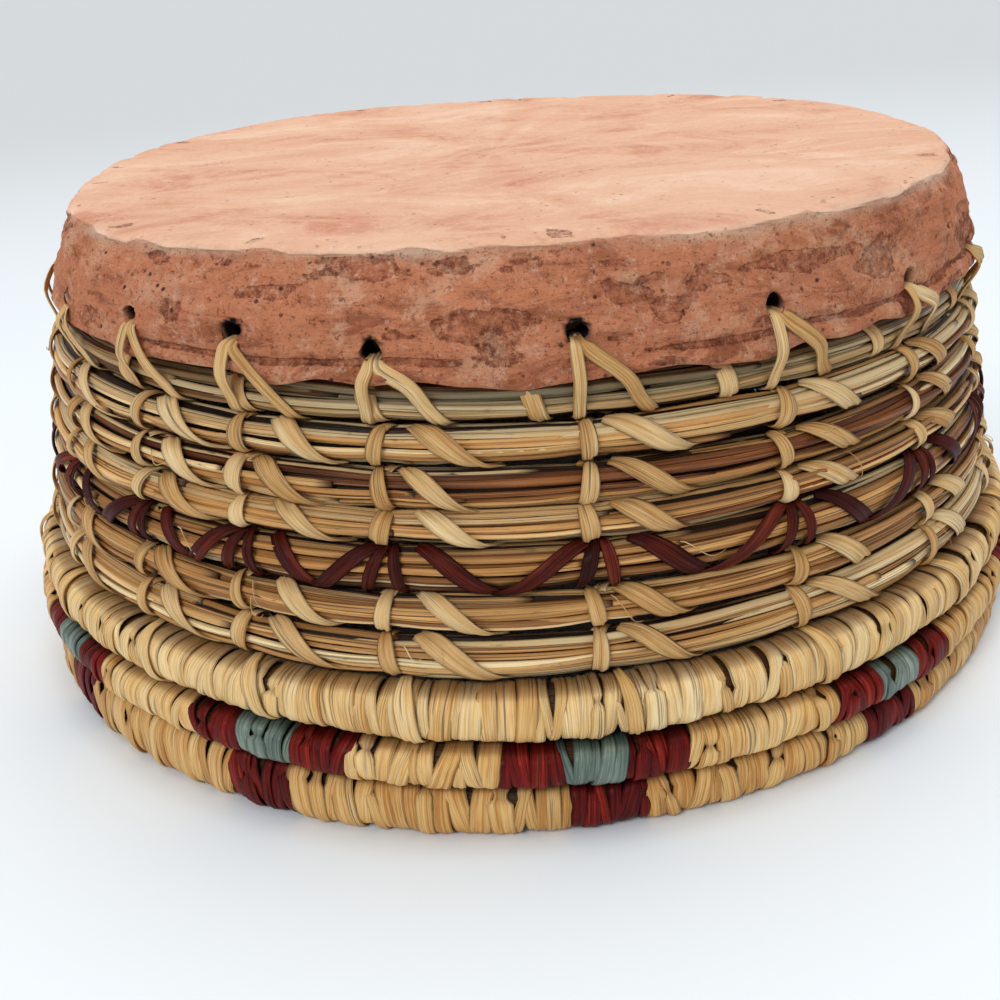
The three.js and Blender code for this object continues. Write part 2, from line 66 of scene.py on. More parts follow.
class Slot(Enum):
    """Material slots of the record."""

    CLAY = "clay"
    NEEDLES = "needles"
    STRAW = "straw_raffia"
    BURGUNDY = "burgundy_raffia"
    TEAL = "teal_raffia"


def ease(share: Array) -> Array:
    """Share from 0 to 1 with level ends, 3s^2 - 2s^3.

    Args:
        share: Values of any size, held to 0 and 1.

    Returns:
        Eased values.
    """
    held = np.clip(share, 0, 1)
    return held * held * (3 - 2 * held)


def bell(distance: Array, width: float) -> Array:
    """Bump of height 1 that falls off as exp(-(distance / width)^2)."""
    return np.exp(-(distance / width) ** 2)


def blend(start: Array, end: Array, share: Array) -> Array:
    """Straight mix of two values."""
    return start + (end - start) * share


def turned_by(angle: Array, other: Array) -> Array:
    """Least signed angle from one direction to another, in degrees."""
    return (np.asarray(angle) - other + 180) % 360 - 180


class Grain:
    """Smooth random values through space.

    Random numbers sit at the corners of a lattice that repeats. A point's value is the mix of the
    eight corners round it, with eased weights.
    """

    cells = 32

    def __init__(self, seed: int) -> None:
        """Draws the lattice.

        Args:
            seed: Start of the random draw.
        """
        self.lattice = np.random.default_rng(seed).uniform(-1, 1, (self.cells,) * 3)

    def at(self, points: Array, size: float | tuple[float, float, float]) -> Array:
        """Value at each point, from -1 to 1.

        Args:
            points: Places in mm, the last axis of length 3.
            size: Length of a lattice cell in mm, one number or one for each axis.

        Returns:
            One value for each point.
        """
        scaled = points / np.asarray(size, float)
        low = np.floor(scaled)
        share = ease(scaled - low)
        index = low.astype(int) % self.cells
        total = np.zeros(points.shape[:-1])
        for corner in np.ndindex(2, 2, 2):
            weight = np.prod(np.where(corner, share, 1 - share), axis=-1)
            x, y, z = ((index[..., axis] + corner[axis]) % self.cells for axis in range(3))
            total += weight * self.lattice[x, y, z]
        return total

    def rough(self, points: Array, size: float | tuple[float, float, float], layers: int = 3) -> Array:
        """Sum of layers, each of half the size and half the strength of the one before.

        Args:
            points: Places in mm.
            size: Cell length of the first layer.
            layers: How many layers.

        Returns:
            One value for each point, mostly from -1 to 1.
        """
        total = 0.0
        for layer in range(layers):
            total = total + self.at(points + 7.31 * layer, np.asarray(size, float) / 2 ** layer) / 2 ** layer
        return total


@dataclass(frozen=True)
class Settling:
    """How the hand-built basket strays from round and level, by values listed over its height.

    Its levels fall from left to right by x times a slope, and stand higher again far to the left.
    They lie to the right of the axis by a shift, and bulge on the right.
    """

    heights: tuple[float, ...] = (0.0, 10.0, 18.0, 27.5, 52.0, 76.5, 84.0, 96.0)
    slopes: tuple[float, ...] = (0.0, 0.016, 0.008, 0.010, 0.020, 0.026, 0.022, 0.009)
    left_rises: tuple[float, ...] = (0.0, 2.2, 2.6, 1.5, 0.3, 0.0, 0.0, 0.0)
    shifts: tuple[float, ...] = (0.7, 0.7, 0.9, 1.2, 1.5, 1.7, 1.5, 0.4)
    right_bulges: tuple[float, ...] = (0.0, 0.0, 0.0, 0.0, 0.2, 1.5, 1.8, 0.2)
    # How far right of the axis the bulge starts, and over what length it and the left rise grow, in mm
    bulge_start: float = 45.0
    bulge_reach: float = 50.0
    rise_reach: float = 75.0

    def lean(self, points: Array) -> Array:
        """Points of the round and level basket moved to where they lie in the real one.

        Args:
            points: Places in mm.

        Returns:
            Places of the same shape.
        """
        x, height = points[..., 0], points[..., 2]
        slope, left, shift, right = (np.interp(height, self.heights, values) for values in (
            self.slopes, self.left_rises, self.shifts, self.right_bulges))
        moved = points.copy()
        moved[..., 0] += shift + right * ease((x - self.bulge_start) / self.bulge_reach)
        moved[..., 2] += left * ease(-x / self.rise_reach) - x * slope
        return moved


SETTLING = Settling()


@dataclass
class Skin:
    """Closed tubes of one mesh: rings of points along each tube, with what its finish reads.

    Attributes:
        rings: Places in mm, by tube, step along it, point round it and axis.
        along: Length along each tube in mm, by tube and step.
        across: Length round each tube in mm, by point round it and once more for the seam.
        marks: Values that the finish reads, by name, each by tube, step and point round it.
        looped: Whether each tube closes on itself instead of ending in two caps.
    """

    rings: Array
    along: Array
    across: Array
    marks: dict[str, Array] = field(default_factory=dict)
    looped: bool = False

    def chosen(self, which: slice | Array) -> "Skin":
        """Some of the tubes.

        Args:
            which: Numbers of the tubes, or true for each one that is kept.

        Returns:
            A skin with these tubes only.
        """
        marks = {key: values[which] for key, values in self.marks.items()}
        return Skin(self.rings[which], self.along[which], self.across, marks, self.looped)

    def faces(self) -> Array:
        """Four-sided faces between rings, and over each open end.

        Returns:
            Point numbers, four for each face.
        """
        tubes, steps, around = self.rings.shape[:3]
        numbers = np.arange(tubes * steps * around).reshape(tubes, steps, around)
        turned = np.roll(numbers, -1, axis=2)
        if self.looped:
            after, after_turned = np.roll(numbers, -1, axis=1), np.roll(turned, -1, axis=1)
            return np.stack([numbers, turned, after_turned, after], -1).reshape(-1, 4)
        sides = np.stack([numbers[:, :-1], turned[:, :-1], turned[:, 1:], numbers[:, 1:]], -1)
        caps = []
        for pair in range(around // 2 - 1):
            corners = [0, 2 * pair + 1, 2 * pair + 2, 2 * pair + 3]
            caps.append(numbers[:, 0][:, corners[::-1]])
            caps.append(numbers[:, -1][:, corners])
        return np.concatenate([sides.reshape(-1, 4), *caps])

    def face_uvs(self) -> Array:
        """Length along and across for each face corner, in the order of faces().

        Returns:
            Pairs of lengths in mm.
        """
        tubes, steps, around = self.rings.shape[:3]
        along = np.broadcast_to(self.along[:, :, None], (tubes, steps, around))
        across = np.broadcast_to(self.across, (tubes, steps, around + 1))
        left, right = across[..., :-1], across[..., 1:]
        if self.looped:
            step_length = along[:, -1:] - along[:, -2:-1]
            after = np.concatenate([along[:, 1:], along[:, -1:] + step_length], axis=1)
            rows = [(along, left), (along, right), (after, right), (after, left)]
        else:
            rows = [(along[:, :-1], left[:, :-1]), (along[:, :-1], right[:, :-1]),
                    (along[:, 1:], right[:, 1:]), (along[:, 1:], left[:, 1:])]
        sides = np.stack([np.stack(pair, -1) for pair in rows], -2).reshape(-1, 4, 2)
        if self.looped:
            return sides
        caps = (around // 2 - 1) * 2 * tubes
        return np.concatenate([sides, np.zeros((caps, 4, 2))])


def signed_volume(points: Array, faces: Array) -> float:
    """Volume inside four-sided faces, above 0 where they point outwards.

    Args:
        points: Places.
        faces: Point numbers, four for each face.

    Returns:
        A sixth of the sum of a . (b x c) over both triangles of each face.
    """
    a, b, c, d = (points[faces[:, corner]] for corner in range(4))
    return float(np.sum(a * (np.cross(b, c) + np.cross(c, d))) / 6)


def make_piece(name: str, skins: list[Skin], material: bpy.types.Material,
               nodes: list[str]) -> bpy.types.Object:
    """Writes tubes into one mesh piece that rides on the body and stands for its CAD nodes.

    Args:
        name: Name of the piece.
        skins: Tubes of the piece.
        material: Its finish.
        nodes: CAD nodes that it replaces.

    Returns:
        The new object, at the origin.
    """
    points, faces, uvs = [], [], []
    marks: dict[str, list[Array]] = {key: [] for key in skins[0].marks}
    count = 0
    for skin in skins:
        places = skin.rings.reshape(-1, 3)
        quads = skin.faces()
        corner_uvs = skin.face_uvs()
        if signed_volume(places, quads) < 0:
            quads, corner_uvs = quads[:, ::-1], corner_uvs[:, ::-1]
        points.append(places)
        faces.append(quads + count)
        uvs.append(corner_uvs)
        for key, values in marks.items():
            values.append(np.broadcast_to(skin.marks[key], skin.rings.shape[:3]).reshape(-1))
        count += len(places)
    places = SETTLING.lean(np.concatenate(points)) * MM
    quads = np.concatenate(faces)
    mesh = bpy.data.meshes.new(name)
    mesh.vertices.add(len(places))
    mesh.vertices.foreach_set("co", places.astype(np.float32).ravel())
    mesh.loops.add(quads.size)
    mesh.loops.foreach_set("vertex_index", quads.astype(np.int32).ravel())
    mesh.polygons.add(len(quads))
    mesh.polygons.foreach_set("loop_start", np.arange(0, quads.size, 4, dtype=np.int32))
    mesh.update(calc_edges=True)
    mesh.polygons.foreach_set("use_smooth", np.ones(len(quads), bool))
    layer = mesh.uv_layers.new(name="strand")
    layer.data.foreach_set("uv", np.concatenate(uvs).astype(np.float32).ravel())
    for key, values in marks.items():
        attribute = mesh.attributes.new(key, "FLOAT", "POINT")
        attribute.data.foreach_set("value", np.concatenate(values).astype(np.float32))
    piece = bpy.data.objects.new(name, mesh)
    bpy.context.scene.collection.objects.link(piece)
    mesh.materials.append(material)
    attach(piece, BODY)
    if nodes:
        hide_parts(*nodes)
    log.info("%s: %d faces", name, len(quads))
    return piece


class Wire:
    """One output of a shader node. Arithmetic on it adds Math nodes."""

    def __init__(self, recipe: "Recipe", socket: bpy.types.NodeSocket) -> None:
        """Keeps both.

        Args:
            recipe: The recipe that the node belongs to.
            socket: The node's output.
        """
        self.recipe = recipe
        self.socket = socket

    def _math(self, operation: str, *values: "Wire | float") -> "Wire":
        """A Math node fed with the values in order."""
        return self.recipe.node("ShaderNodeMath", {"operation": operation}, dict(enumerate(values)))

    def __add__(self, other: "Wire | float") -> "Wire":
        """Sum."""
        return self._math("ADD", self, other)

    def __sub__(self, other: "Wire | float") -> "Wire":
        """Difference."""
        return self._math("SUBTRACT", self, other)

    def __mul__(self, other: "Wire | float") -> "Wire":
        """Product."""
        return self._math("MULTIPLY", self, other)

    def __rsub__(self, other: float) -> "Wire":
        """Difference from a number."""
        return self._math("SUBTRACT", other, self)

    __radd__ = __add__
    __rmul__ = __mul__

    def between(self, low: float, high: float) -> "Wire":
        """0 at or under the low value, 1 at or over the high one, eased between them.

        Args:
            low: Value that gives 0.
            high: Value that gives 1.

        Returns:
            The eased share.
        """
        settings = {"interpolation_type": "SMOOTHSTEP"}
        inputs = {"Value": self, "From Min": low, "From Max": high}
        return self.recipe.node("ShaderNodeMapRange", settings, inputs)


class Recipe:
    """Node tree of one material."""

    def __init__(self, name: str) -> None:
        """Makes an empty material of that name."""
        self.material = bpy.data.materials.new(name)
        self.material.use_nodes = True
        self.tree = self.material.node_tree
        self.tree.nodes.clear()

    def node(self, kind: str, settings: dict | None = None, inputs: dict | None = None,
             output: int | str = 0) -> Wire:
        """Adds a node.

        Args:
            kind: Name of the node type.
            settings: Its properties, set first. The key stops holds a ramp's places and colours.
            inputs: Values or wires for its sockets, by name or number.
            output: The socket to give back, by name or number.

        Returns:
            The chosen output.
        """
        node = self.tree.nodes.new(kind)
        for key, value in (settings or {}).items():
            if key == "stops":
                self._set_stops(node.color_ramp, value)
            else:
                setattr(node, key, value)
        for key, value in (inputs or {}).items():
            if isinstance(value, Wire):
                self.tree.links.new(value.socket, node.inputs[key])
            else:
                node.inputs[key].default_value = value
        return Wire(self, node.outputs[output])

    @staticmethod
    def _set_stops(ramp: bpy.types.ColorRamp, stops: list[tuple[float, tuple]]) -> None:
        """Gives a ramp its stops.

        Args:
            ramp: A new ramp.
            stops: Place and colour of each.
        """
        while len(ramp.elements) > 1:
            ramp.elements.remove(ramp.elements[-1])
        ramp.elements[0].position, ramp.elements[0].color = stops[0]
        for position, colour in stops[1:]:
            ramp.elements.new(position).color = colour

    def mix(self, first: "Wire | tuple", second: "Wire | tuple", share: "Wire | float") -> Wire:
        """Mixes two colours."""
        return self.node("ShaderNodeMix", {"data_type": "RGBA"}, {0: share, 6: first, 7: second}, 2)

    def mark(self, name: str) -> Wire:
        """A value that the mesh carries."""
        return self.node("ShaderNodeAttribute", {"attribute_name": name}, output="Fac")

    def place(self) -> Wire:
        """Object coordinates in metres."""
        return self.node("ShaderNodeTexCoord", output="Object")

    def strand(self, along: float, across: float, seed: Wire) -> Wire:
        """Coordinates on a strand, stretched, with each strand in a place of its own.

        Args:
            along: Pattern cells for each mm along the strand.
            across: Pattern cells for each mm across it.
            seed: Value that tells one strand from the next.

        Returns:
            A vector for a noise texture.
        """
        uv = self.node("ShaderNodeUVMap", {"uv_map": "strand"})
        scaled = self.stretched(uv, (along, across, 0.0))
        apart = {"X": seed * 91.0, "Y": seed * 57.0, "Z": seed * 23.0}
        shift = self.node("ShaderNodeCombineXYZ", inputs=apart)
        return self.node("ShaderNodeVectorMath", {"operation": "ADD"}, {0: scaled, 1: shift})

    def noise(self, where: Wire, detail: float = 3.0, roughness: float = 0.55, distortion: float = 0.0,
              scale: float = 1.0) -> Wire:
        """Noise from 0 to 1, with cells of 1 / scale in the units of its place."""
        inputs = {"Vector": where, "Scale": scale, "Detail": detail, "Roughness": roughness,
                  "Distortion": distortion}
        return self.node("ShaderNodeTexNoise", inputs=inputs)

    def stretched(self, where: Wire, sizes: tuple[float, float, float]) -> Wire:
        """Coordinates multiplied axis by axis."""
        return self.node("ShaderNodeVectorMath", {"operation": "MULTIPLY"}, {0: where, 1: sizes})

    def bumps(self, height: Wire, depth: float) -> Wire:
        """Normal of a surface raised by a height. A height of 1 measures the depth, in mm."""
        inputs = {"Height": height, "Distance": depth * MM, "Strength": 1.0}
        return self.node("ShaderNodeBump", inputs=inputs)

    def finish(self, **values: "Wire | float | tuple") -> bpy.types.Material:
        """Ends the recipe with the surface shader.

        Args:
            values: Its sockets, with underscores for spaces.

        Returns:
            The material.
        """
        inputs = {key.replace("_", " "): value for key, value in values.items()}
        shader = self.node("ShaderNodeBsdfPrincipled", inputs=inputs, output="BSDF")
        end = self.tree.nodes.new("ShaderNodeOutputMaterial")
        self.tree.links.new(shader.socket, end.inputs["Surface"])
        return self.material


def tone(red: int, green: int, blue: int) -> tuple[float, float, float, float]:
    """Colour from its values on a screen, as the linear values of a shader.

    Args:
        red: Red on the screen, 0 to 255.
        green: Green on the screen.
        blue: Blue on the screen.

    Returns:
        Red, green, blue and an alpha of 1.
    """
    values = np.array([red, green, blue]) / 255
    linear = np.where(values <= 0.04045, values / 12.92, ((values + 0.055) / 1.055) ** 2.4)
    return (*map(float, linear), 1.0)


@dataclass(frozen=True)
class RaffiaFinish:
    """Split palm-leaf strand: long fibres, creases and a soft shine, dyed or plain."""

    name: str
    colours: tuple[tuple[int, int, int], ...]
    dark: tuple[int, int, int]
    roughness: float = 0.55
    coat: float = 0.0
    specular: float = 0.25
    fibre_depth: float = 0.6
    fibres_per_mm: float = 2.3
    cracked: float = 0.75

    def make(self) -> bpy.types.Material:
        """Builds the material.

        Returns:
            A material that reads the strand's UV and its tint and shade marks.
        """
        recipe = Recipe(self.name)
        tint = recipe.mark("tint")
        fibres = recipe.noise(recipe.strand(0.035, self.fibres_per_mm, tint), roughness=0.65)
        threads = recipe.noise(recipe.strand(0.07, self.fibres_per_mm * 2.4, tint), detail=2.0, roughness=0.5)
        patches = recipe.noise(recipe.strand(0.11, 0.30, tint))
        spread = 1 / (len(self.colours) - 1)
        stops = [(number * spread, tone(*colour)) for number, colour in enumerate(self.colours)]
        level = tint * 0.55 + (patches - 0.5) * 0.75 + fibres.between(0.32, 0.68) * 0.5
        level = level + threads.between(0.3, 0.7) * 0.4 - 0.22
        base = recipe.node("ShaderNodeValToRGB", {"stops": stops}, {"Fac": level})
        cracks = 1 - fibres.between(0.33, 0.43)
        base = recipe.mix(base, tone(*self.dark), cracks * self.cracked)
        fine_cracks = 1 - threads.between(0.30, 0.42)
        base = recipe.mix(base, tone(*self.dark), fine_cracks * (self.cracked * 0.5))
        # Painted shade: the shade mark mixes the strand toward its dark colour.
        shade = recipe.mark("shade")
        base = recipe.mix(base, tone(*self.dark), shade * 0.85)
        height = fibres * 0.7 + threads * 0.3
        normal = recipe.bumps(height, self.fibre_depth)
        roughness = self.roughness + (threads - 0.5) * 0.3
        return recipe.finish(Base_Color=base, Roughness=roughness, Normal=normal,
                             Specular_IOR_Level=self.specular, Coat_Weight=self.coat, Coat_Roughness=0.2)


@dataclass(frozen=True)
class NeedleFinish:
    """Dried pine needles: smooth and glossy, from gold through olive to red-brown, with dark spots."""

    name: str = "pine_needle"
    stops: tuple[tuple[float, tuple[int, int, int]], ...] = (
        (0.00, (255, 228, 174)), (0.22, (248, 200, 134)), (0.42, (226, 170, 102)), (0.58, (198, 140, 78)),
        (0.72, (172, 120, 66)), (0.84, (160, 96, 48)), (0.93, (124, 72, 36)), (1.00, (92, 48, 22)))
    spot: tuple[int, int, int] = (62, 56, 34)
    cut: tuple[int, int, int] = (66, 38, 20)
    # Near-black colour of painted shade
    painted_shade: tuple[int, int, int] = (14, 6, 2)
    roughness: float = 0.32

    def make(self) -> bpy.types.Material:
        """Builds the material.

        Returns:
            A material that reads the needle's UV and its tint, shade and cut marks.
        """
        recipe = Recipe(self.name)
        tint = recipe.mark("tint")
        streaks = recipe.noise(recipe.strand(0.03, 2.2, tint))
        slow = recipe.noise(recipe.strand(0.05, 0.3, tint), detail=2.0)
        stops = [(place, tone(*colour)) for place, colour in self.stops]
        level = tint + (streaks - 0.5) * 0.42 + (slow - 0.5) * 0.40
        base = recipe.node("ShaderNodeValToRGB", {"stops": stops}, {"Fac": level})
        spots = recipe.noise(recipe.strand(0.16, 0.5, tint), detail=4.0, roughness=0.65)
        spots = spots.between(0.62, 0.74)
        base = recipe.mix(base, tone(*self.spot), spots * 0.6)
        base = recipe.mix(base, tone(*self.cut), recipe.mark("cut"))
        # Painted shade: the shade mark mixes in the near-black colour.
        base = recipe.mix(base, tone(*self.painted_shade), recipe.mark("shade"))
        grooves = recipe.noise(recipe.strand(0.016, 2.6, tint), detail=2.0)
        base = recipe.mix(base, tone(*self.cut), (1 - grooves.between(0.34, 0.43)) * 0.75)
        normal = recipe.bumps(grooves, 0.5)
        return recipe.finish(Base_Color=base, Roughness=self.roughness + (slow - 0.5) * 0.25, Normal=normal,
                             Specular_IOR_Level=0.28)


@dataclass(frozen=True)
class ClayFinish:
    """Unglazed terracotta: pale and smeared on the face, darker, sandy and scratched on the wall."""

    name: str = "terracotta"
    face: tuple[int, int, int] = (236, 182, 150)
    face_smear: tuple[int, int, int] = (208, 134, 104)
    face_pale: tuple[int, int, int] = (250, 212, 184)
    wall: tuple[int, int, int] = (232, 148, 106)
    wall_dark: tuple[int, int, int] = (164, 92, 62)
    wall_pale: tuple[int, int, int] = (248, 188, 150)
    # Dark red-brown for stains and specks, and for painted shade along torn edges, in the groove and in
    # cracks
    stain_and_shade: tuple[int, int, int] = (112, 46, 34)
    pit: tuple[int, int, int] = (54, 20, 12)
    # Near-black painted shade for the walls of the holes
    inside: tuple[int, int, int] = (14, 7, 4)

    def make(self) -> bpy.types.Material:
        """Builds the material.

        Returns:
            A material that reads object coordinates, the dish's UV and its marks: face, stain,
            edge and the holes' painted shade.
        """
        recipe = Recipe(self.name)
        place = recipe.place()
        on_face, stain_and_shade, edge = recipe.mark("face"), recipe.mark("stain_and_shade"), recipe.mark("edge")
        clouds = recipe.noise(recipe.stretched(place, (26.0, 38.0, 38.0)),
                              detail=10.0, roughness=0.74, distortion=0.7)
        drags = recipe.noise(recipe.stretched(place, (60.0, 420.0, 420.0)),
                             detail=5.0, roughness=0.65, distortion=0.5)
        face = recipe.mix(tone(*self.face), tone(*self.face_smear), clouds.between(0.49, 0.66) * 0.9)
        face = recipe.mix(face, tone(*self.face_pale), (1 - clouds).between(0.50, 0.66) * 0.85)
        face = recipe.mix(face, tone(*self.face_smear), drags.between(0.58, 0.72) * 0.10)
        uv = recipe.node("ShaderNodeUVMap", {"uv_map": "strand"})
        bands = recipe.noise(recipe.stretched(uv, (0.07, 0.20, 0.0)),
                             detail=9.0, roughness=0.72, distortion=0.8)
        scratches = recipe.noise(recipe.stretched(uv, (0.16, 1.7, 0.0)),
                                 detail=6.0, roughness=0.68, distortion=0.6)
        blotches = recipe.noise(place, detail=8.0, roughness=0.75, scale=120.0)
        wall = recipe.mix(tone(*self.wall), tone(*self.wall_dark), bands.between(0.49, 0.64) * 0.75)
        wall = recipe.mix(wall, tone(*self.wall_pale), (1 - blotches).between(0.49, 0.62) * 0.7)
        wall = recipe.mix(wall, tone(*self.wall_dark), scratches.between(0.56, 0.68) * 0.45)
        base = recipe.mix(wall, face, on_face)
        base = recipe.mix(base, tone(*self.face_pale), edge * 0.8)
        sand = recipe.noise(place, roughness=0.75, scale=1900.0)
        grit = recipe.noise(place, detail=6.0, roughness=0.8, scale=650.0)
        level = stain_and_shade + (blotches - 0.5) * 1.5 + (grit - 0.5) * 0.7
        # Stains are darkest in a band along their ragged borders and lighter inside: real discolouring with
        # painted shade along torn edges of the clay.
        ragged = level.between(0.30, 0.52)
        deep = level.between(0.50, 0.95)
        rough = 0.3 + 0.7 * grit.between(0.44, 0.58)
        base = recipe.mix(base, tone(*self.stain_and_shade), ragged * (0.8 - deep * 0.4) * rough)
        base = recipe.mix(base, tone(*self.stain_and_shade), grit.between(0.55, 0.68) * (0.8 - on_face * 0.66))
        base = recipe.mix(base, tone(*self.face_pale), (1 - grit).between(0.55, 0.68) * 0.6)
        base = recipe.mix(base, tone(*self.stain_and_shade), sand.between(0.57, 0.70) * (0.75 - on_face * 0.65))
        holes = recipe.node("ShaderNodeTexVoronoi", inputs={"Vector": place, "Scale": 430.0},
                            output="Distance")
        where = recipe.noise(place, detail=4.0, roughness=0.7, scale=170.0).between(0.46, 0.60)
        pits = (1 - (holes + (grit - 0.5) * 0.35).between(0.06, 0.20)) * where * (1 - on_face * 0.5)
        base = recipe.mix(base, tone(*self.pit), pits * 0.9)
        height = grit * 1.1 + sand * 0.5 + scratches * (0.6 - on_face * 0.5) - pits * 1.2 + bands * 0.6
        height = height + blotches * 0.7 + drags * on_face * 0.15 - ragged * 0.6
        normal = recipe.bumps(height * (1 - on_face * 0.7), 1.0)
        # Painted shade: the walls of the holes take the near-black colour.
        base = recipe.mix(base, tone(*self.inside), recipe.mark("painted_hole_shade"))
        return recipe.finish(Base_Color=base, Roughness=0.9, Normal=normal, Specular_IOR_Level=0.2)


STRAW = RaffiaFinish(
    "straw_raffia", ((246, 218, 168), (230, 192, 134), (210, 164, 102), (176, 124, 66)), (96, 56, 24))
RIM_STRAW = RaffiaFinish(
    "rim_straw_raffia", ((254, 228, 176), (242, 204, 140), (224, 176, 106), (192, 132, 66)),
    (98, 52, 18), roughness=0.5)
BURGUNDY = RaffiaFinish(
    "burgundy_raffia", ((180, 56, 34), (128, 24, 14), (94, 11, 7), (58, 6, 4)),
    (18, 2, 2), roughness=0.5, coat=0.05, specular=0.12)
DARK_BURGUNDY = RaffiaFinish(
    "zigzag_raffia", ((138, 60, 36), (96, 30, 16), (66, 16, 9), (38, 8, 5)),
    (16, 4, 2), roughness=0.5, coat=0.03, specular=0.12)
TEAL = RaffiaFinish(
    "teal_raffia", ((164, 176, 162), (120, 136, 124), (90, 108, 98), (62, 78, 70)),
    (26, 34, 28), roughness=0.36, coat=0.2)
SLOT_FINISHES = {Slot.STRAW: RIM_STRAW, Slot.BURGUNDY: BURGUNDY, Slot.TEAL: TEAL}


@dataclass(frozen=True)
class Coil:
    """The bundle's way down from the clay, and its size at each level.

    It goes round level with one row for most of a turn, and down to the next in the last steps of
    the turn, at the back. Levels count rows from the clay, and then the rim's coils.
    """

    row_heights: tuple[float, ...] = (6.6, 7.1, 6.6, 5.6, 8.0, 6.6, 8.3)
    rim_heights: tuple[float, ...] = (9.9, 8.0, 9.8)
    first_radius: float = 93.2
    last_radius: float = 101.0
    rim_radii: tuple[float, ...] = (103.8, 105.4, 104.2)
    row_width: float = 6.8
    rim_width: float = 10.0
    turn_gap: float = 0.5
    fit_gap: float = 0.35
    steps: int = 24
    climb_steps: int = 2
    # Direction of one block of colour and of one hole, were they evenly spaced, and how far each
    # strays from its even place, in degrees. The bundle starts past a block at the back by a lead.
    motif_angle: float = -87.0
    motif_strays: tuple[float, ...] = (0, 0.8, 2.0, 4.5, 2.4, -0.4, -1.2, 0, -0.6, 0.7, -0.4)
    start_lead: float = 0.5
    hole_angle: float = -83.6
    hole_strays: tuple[float, ...] = (-2.5, -0.4, 0.6, 1.6, 0.4, -0.5, 0.7, 0, -0.6, 0.5, 0,
                                      0.6, 1.2, 0.3, 2.2, 3.1, 4.6, 3.1, -0.9, -3.9)
    # How much further in and down the first row lies, under the clay's lip, in mm
    first_row_inset: float = 1.1
    first_row_drop: float = 0.45
    # Shares by which the bare bundle is thinner all over and at the stitches, and swells by chance
    slack: float = 0.05
    pinch: float = 0.11
    swell: float = 0.09
    pinch_angle: float = 2.6
    swell_length: float = 31.0
    # Rough length of a step in mm, for random patterns along the bundle
    pattern_step: float = 25.0
    nodes: tuple[str, ...] = ("needle_coil_01", "needle_coil_02", "needle_coil_03", "needle_coil_04")

    @property
    def step_angle(self) -> float:
        """Degrees of one step."""
        return 360 / self.steps

    @property
    def motifs(self) -> int:
        """Number of blocks of colour."""
        return len(self.motif_strays)

    @property
    def start_angle(self) -> float:
        """Direction of the bundle's start, in degrees."""
        return self.motif_angle + 360 / self.motifs * (self.motifs + 1) / 2 + self.start_lead

    @property
    def rows(self) -> int:
        """Number of bare rows."""
        return len(self.row_heights)

    @property
    def levels(self) -> int:
        """Number of bare rows and rim coils."""
        return self.rows + len(self.rim_heights)

    @property
    def pitches(self) -> Array:
        """Height that each level takes up."""
        return np.array(self.row_heights + self.rim_heights)

    @property
    def radii(self) -> Array:
        """Radius of each level's centre line."""
        rows = np.linspace(self.first_radius, self.last_radius, self.rows)
        return np.concatenate([rows, self.rim_radii])

    @property
    def heights(self) -> Array:
        """Height of each level's centre line."""
        below = np.cumsum(self.pitches[::-1])[::-1] - self.pitches
        return below + self.pitches / 2 - self.turn_gap / 2

    @property
    def lip_height(self) -> float:
        """Height of the clay's lip."""
        return float(self.heights[0] + (self.pitches[0] - self.turn_gap) / 2 + self.fit_gap)

    @property
    def columns(self) -> Array:
        """Direction of each hole and of the column of stitches under it, in degrees."""
        strays = np.array(self.hole_strays)
        return self.hole_angle + 360 / len(strays) * np.arange(len(strays)) + strays

    def level_at(self, place: Array) -> Array:
        """How many levels down a place lies: whole turns, and an eased share in the climbing steps.

        Args:
            place: Places along the bundle.

        Returns:
            Levels, 0 for the first row.
        """
        turn = np.floor(np.asarray(place) / self.steps)
        climb = (place - turn * self.steps - self.steps + self.climb_steps) / self.climb_steps
        return np.clip(turn + ease(climb), 0, self.levels - 1)

    def follow(self, place: Array, values: Array) -> Array:
        """Value of a level at each place, mixed where the bundle goes down."""
        return np.interp(self.level_at(place), np.arange(self.levels), values)

    def angle(self, place: Array) -> Array:
        """Direction of a place, in degrees."""
        return self.start_angle + np.asarray(place) * self.step_angle

    def place_of(self, angle: Array, turn: Array) -> Array:
        """Place in a turn that lies in a direction given in degrees."""
        return np.asarray(turn) * self.steps + (np.asarray(angle) - self.start_angle) % 360 / self.step_angle

    def mm_per_step(self, place: Array) -> Array:
        """Length of one step along the bundle."""
        return np.radians(self.step_angle) * self.follow(place, self.radii)

    def bundle_size(self, place: Array, noise: Grain) -> tuple[Array, Array]:
        """Half width and half height of the bare bundle, drawn in at the stitches.

        Args:
            place: Places along the bundle.
            noise: Source of its unevenness.

        Returns:
            Half width and half height in mm.
        """
        angle = self.angle(place)
        nearest = np.min(np.abs(turned_by(angle[..., None], self.columns)), axis=-1)
        spot = np.stack([place * self.pattern_step, np.zeros_like(place), np.zeros_like(place)], -1)
        swell = self.swell * noise.at(spot, self.swell_length)
        size = 1 + swell - self.pinch * bell(nearest, self.pinch_angle) - self.slack
        half_height = (self.follow(place, self.pitches) - self.turn_gap) / 2
        return self.row_width / 2 * size, half_height * size

    def point(self, place: Array, out: Array, up: Array) -> Array:
        """Place in space of a point near the bundle's centre line.

        Args:
            place: Places along the bundle.
            out: Length outwards from the centre line, in mm.
            up: Length upwards from it, in mm.

        Returns:
            Points in mm: radius plus out, turned to the place's direction, and height plus up.
        """
        turn = np.radians(self.angle(place))
        first = 1 - ease(self.level_at(place))
        radius = self.follow(place, self.radii) + out - self.first_row_inset * first
        height = self.follow(place, self.heights) + up - self.first_row_drop * first
        return np.stack([radius * np.cos(turn), radius * np.sin(turn), height], -1)

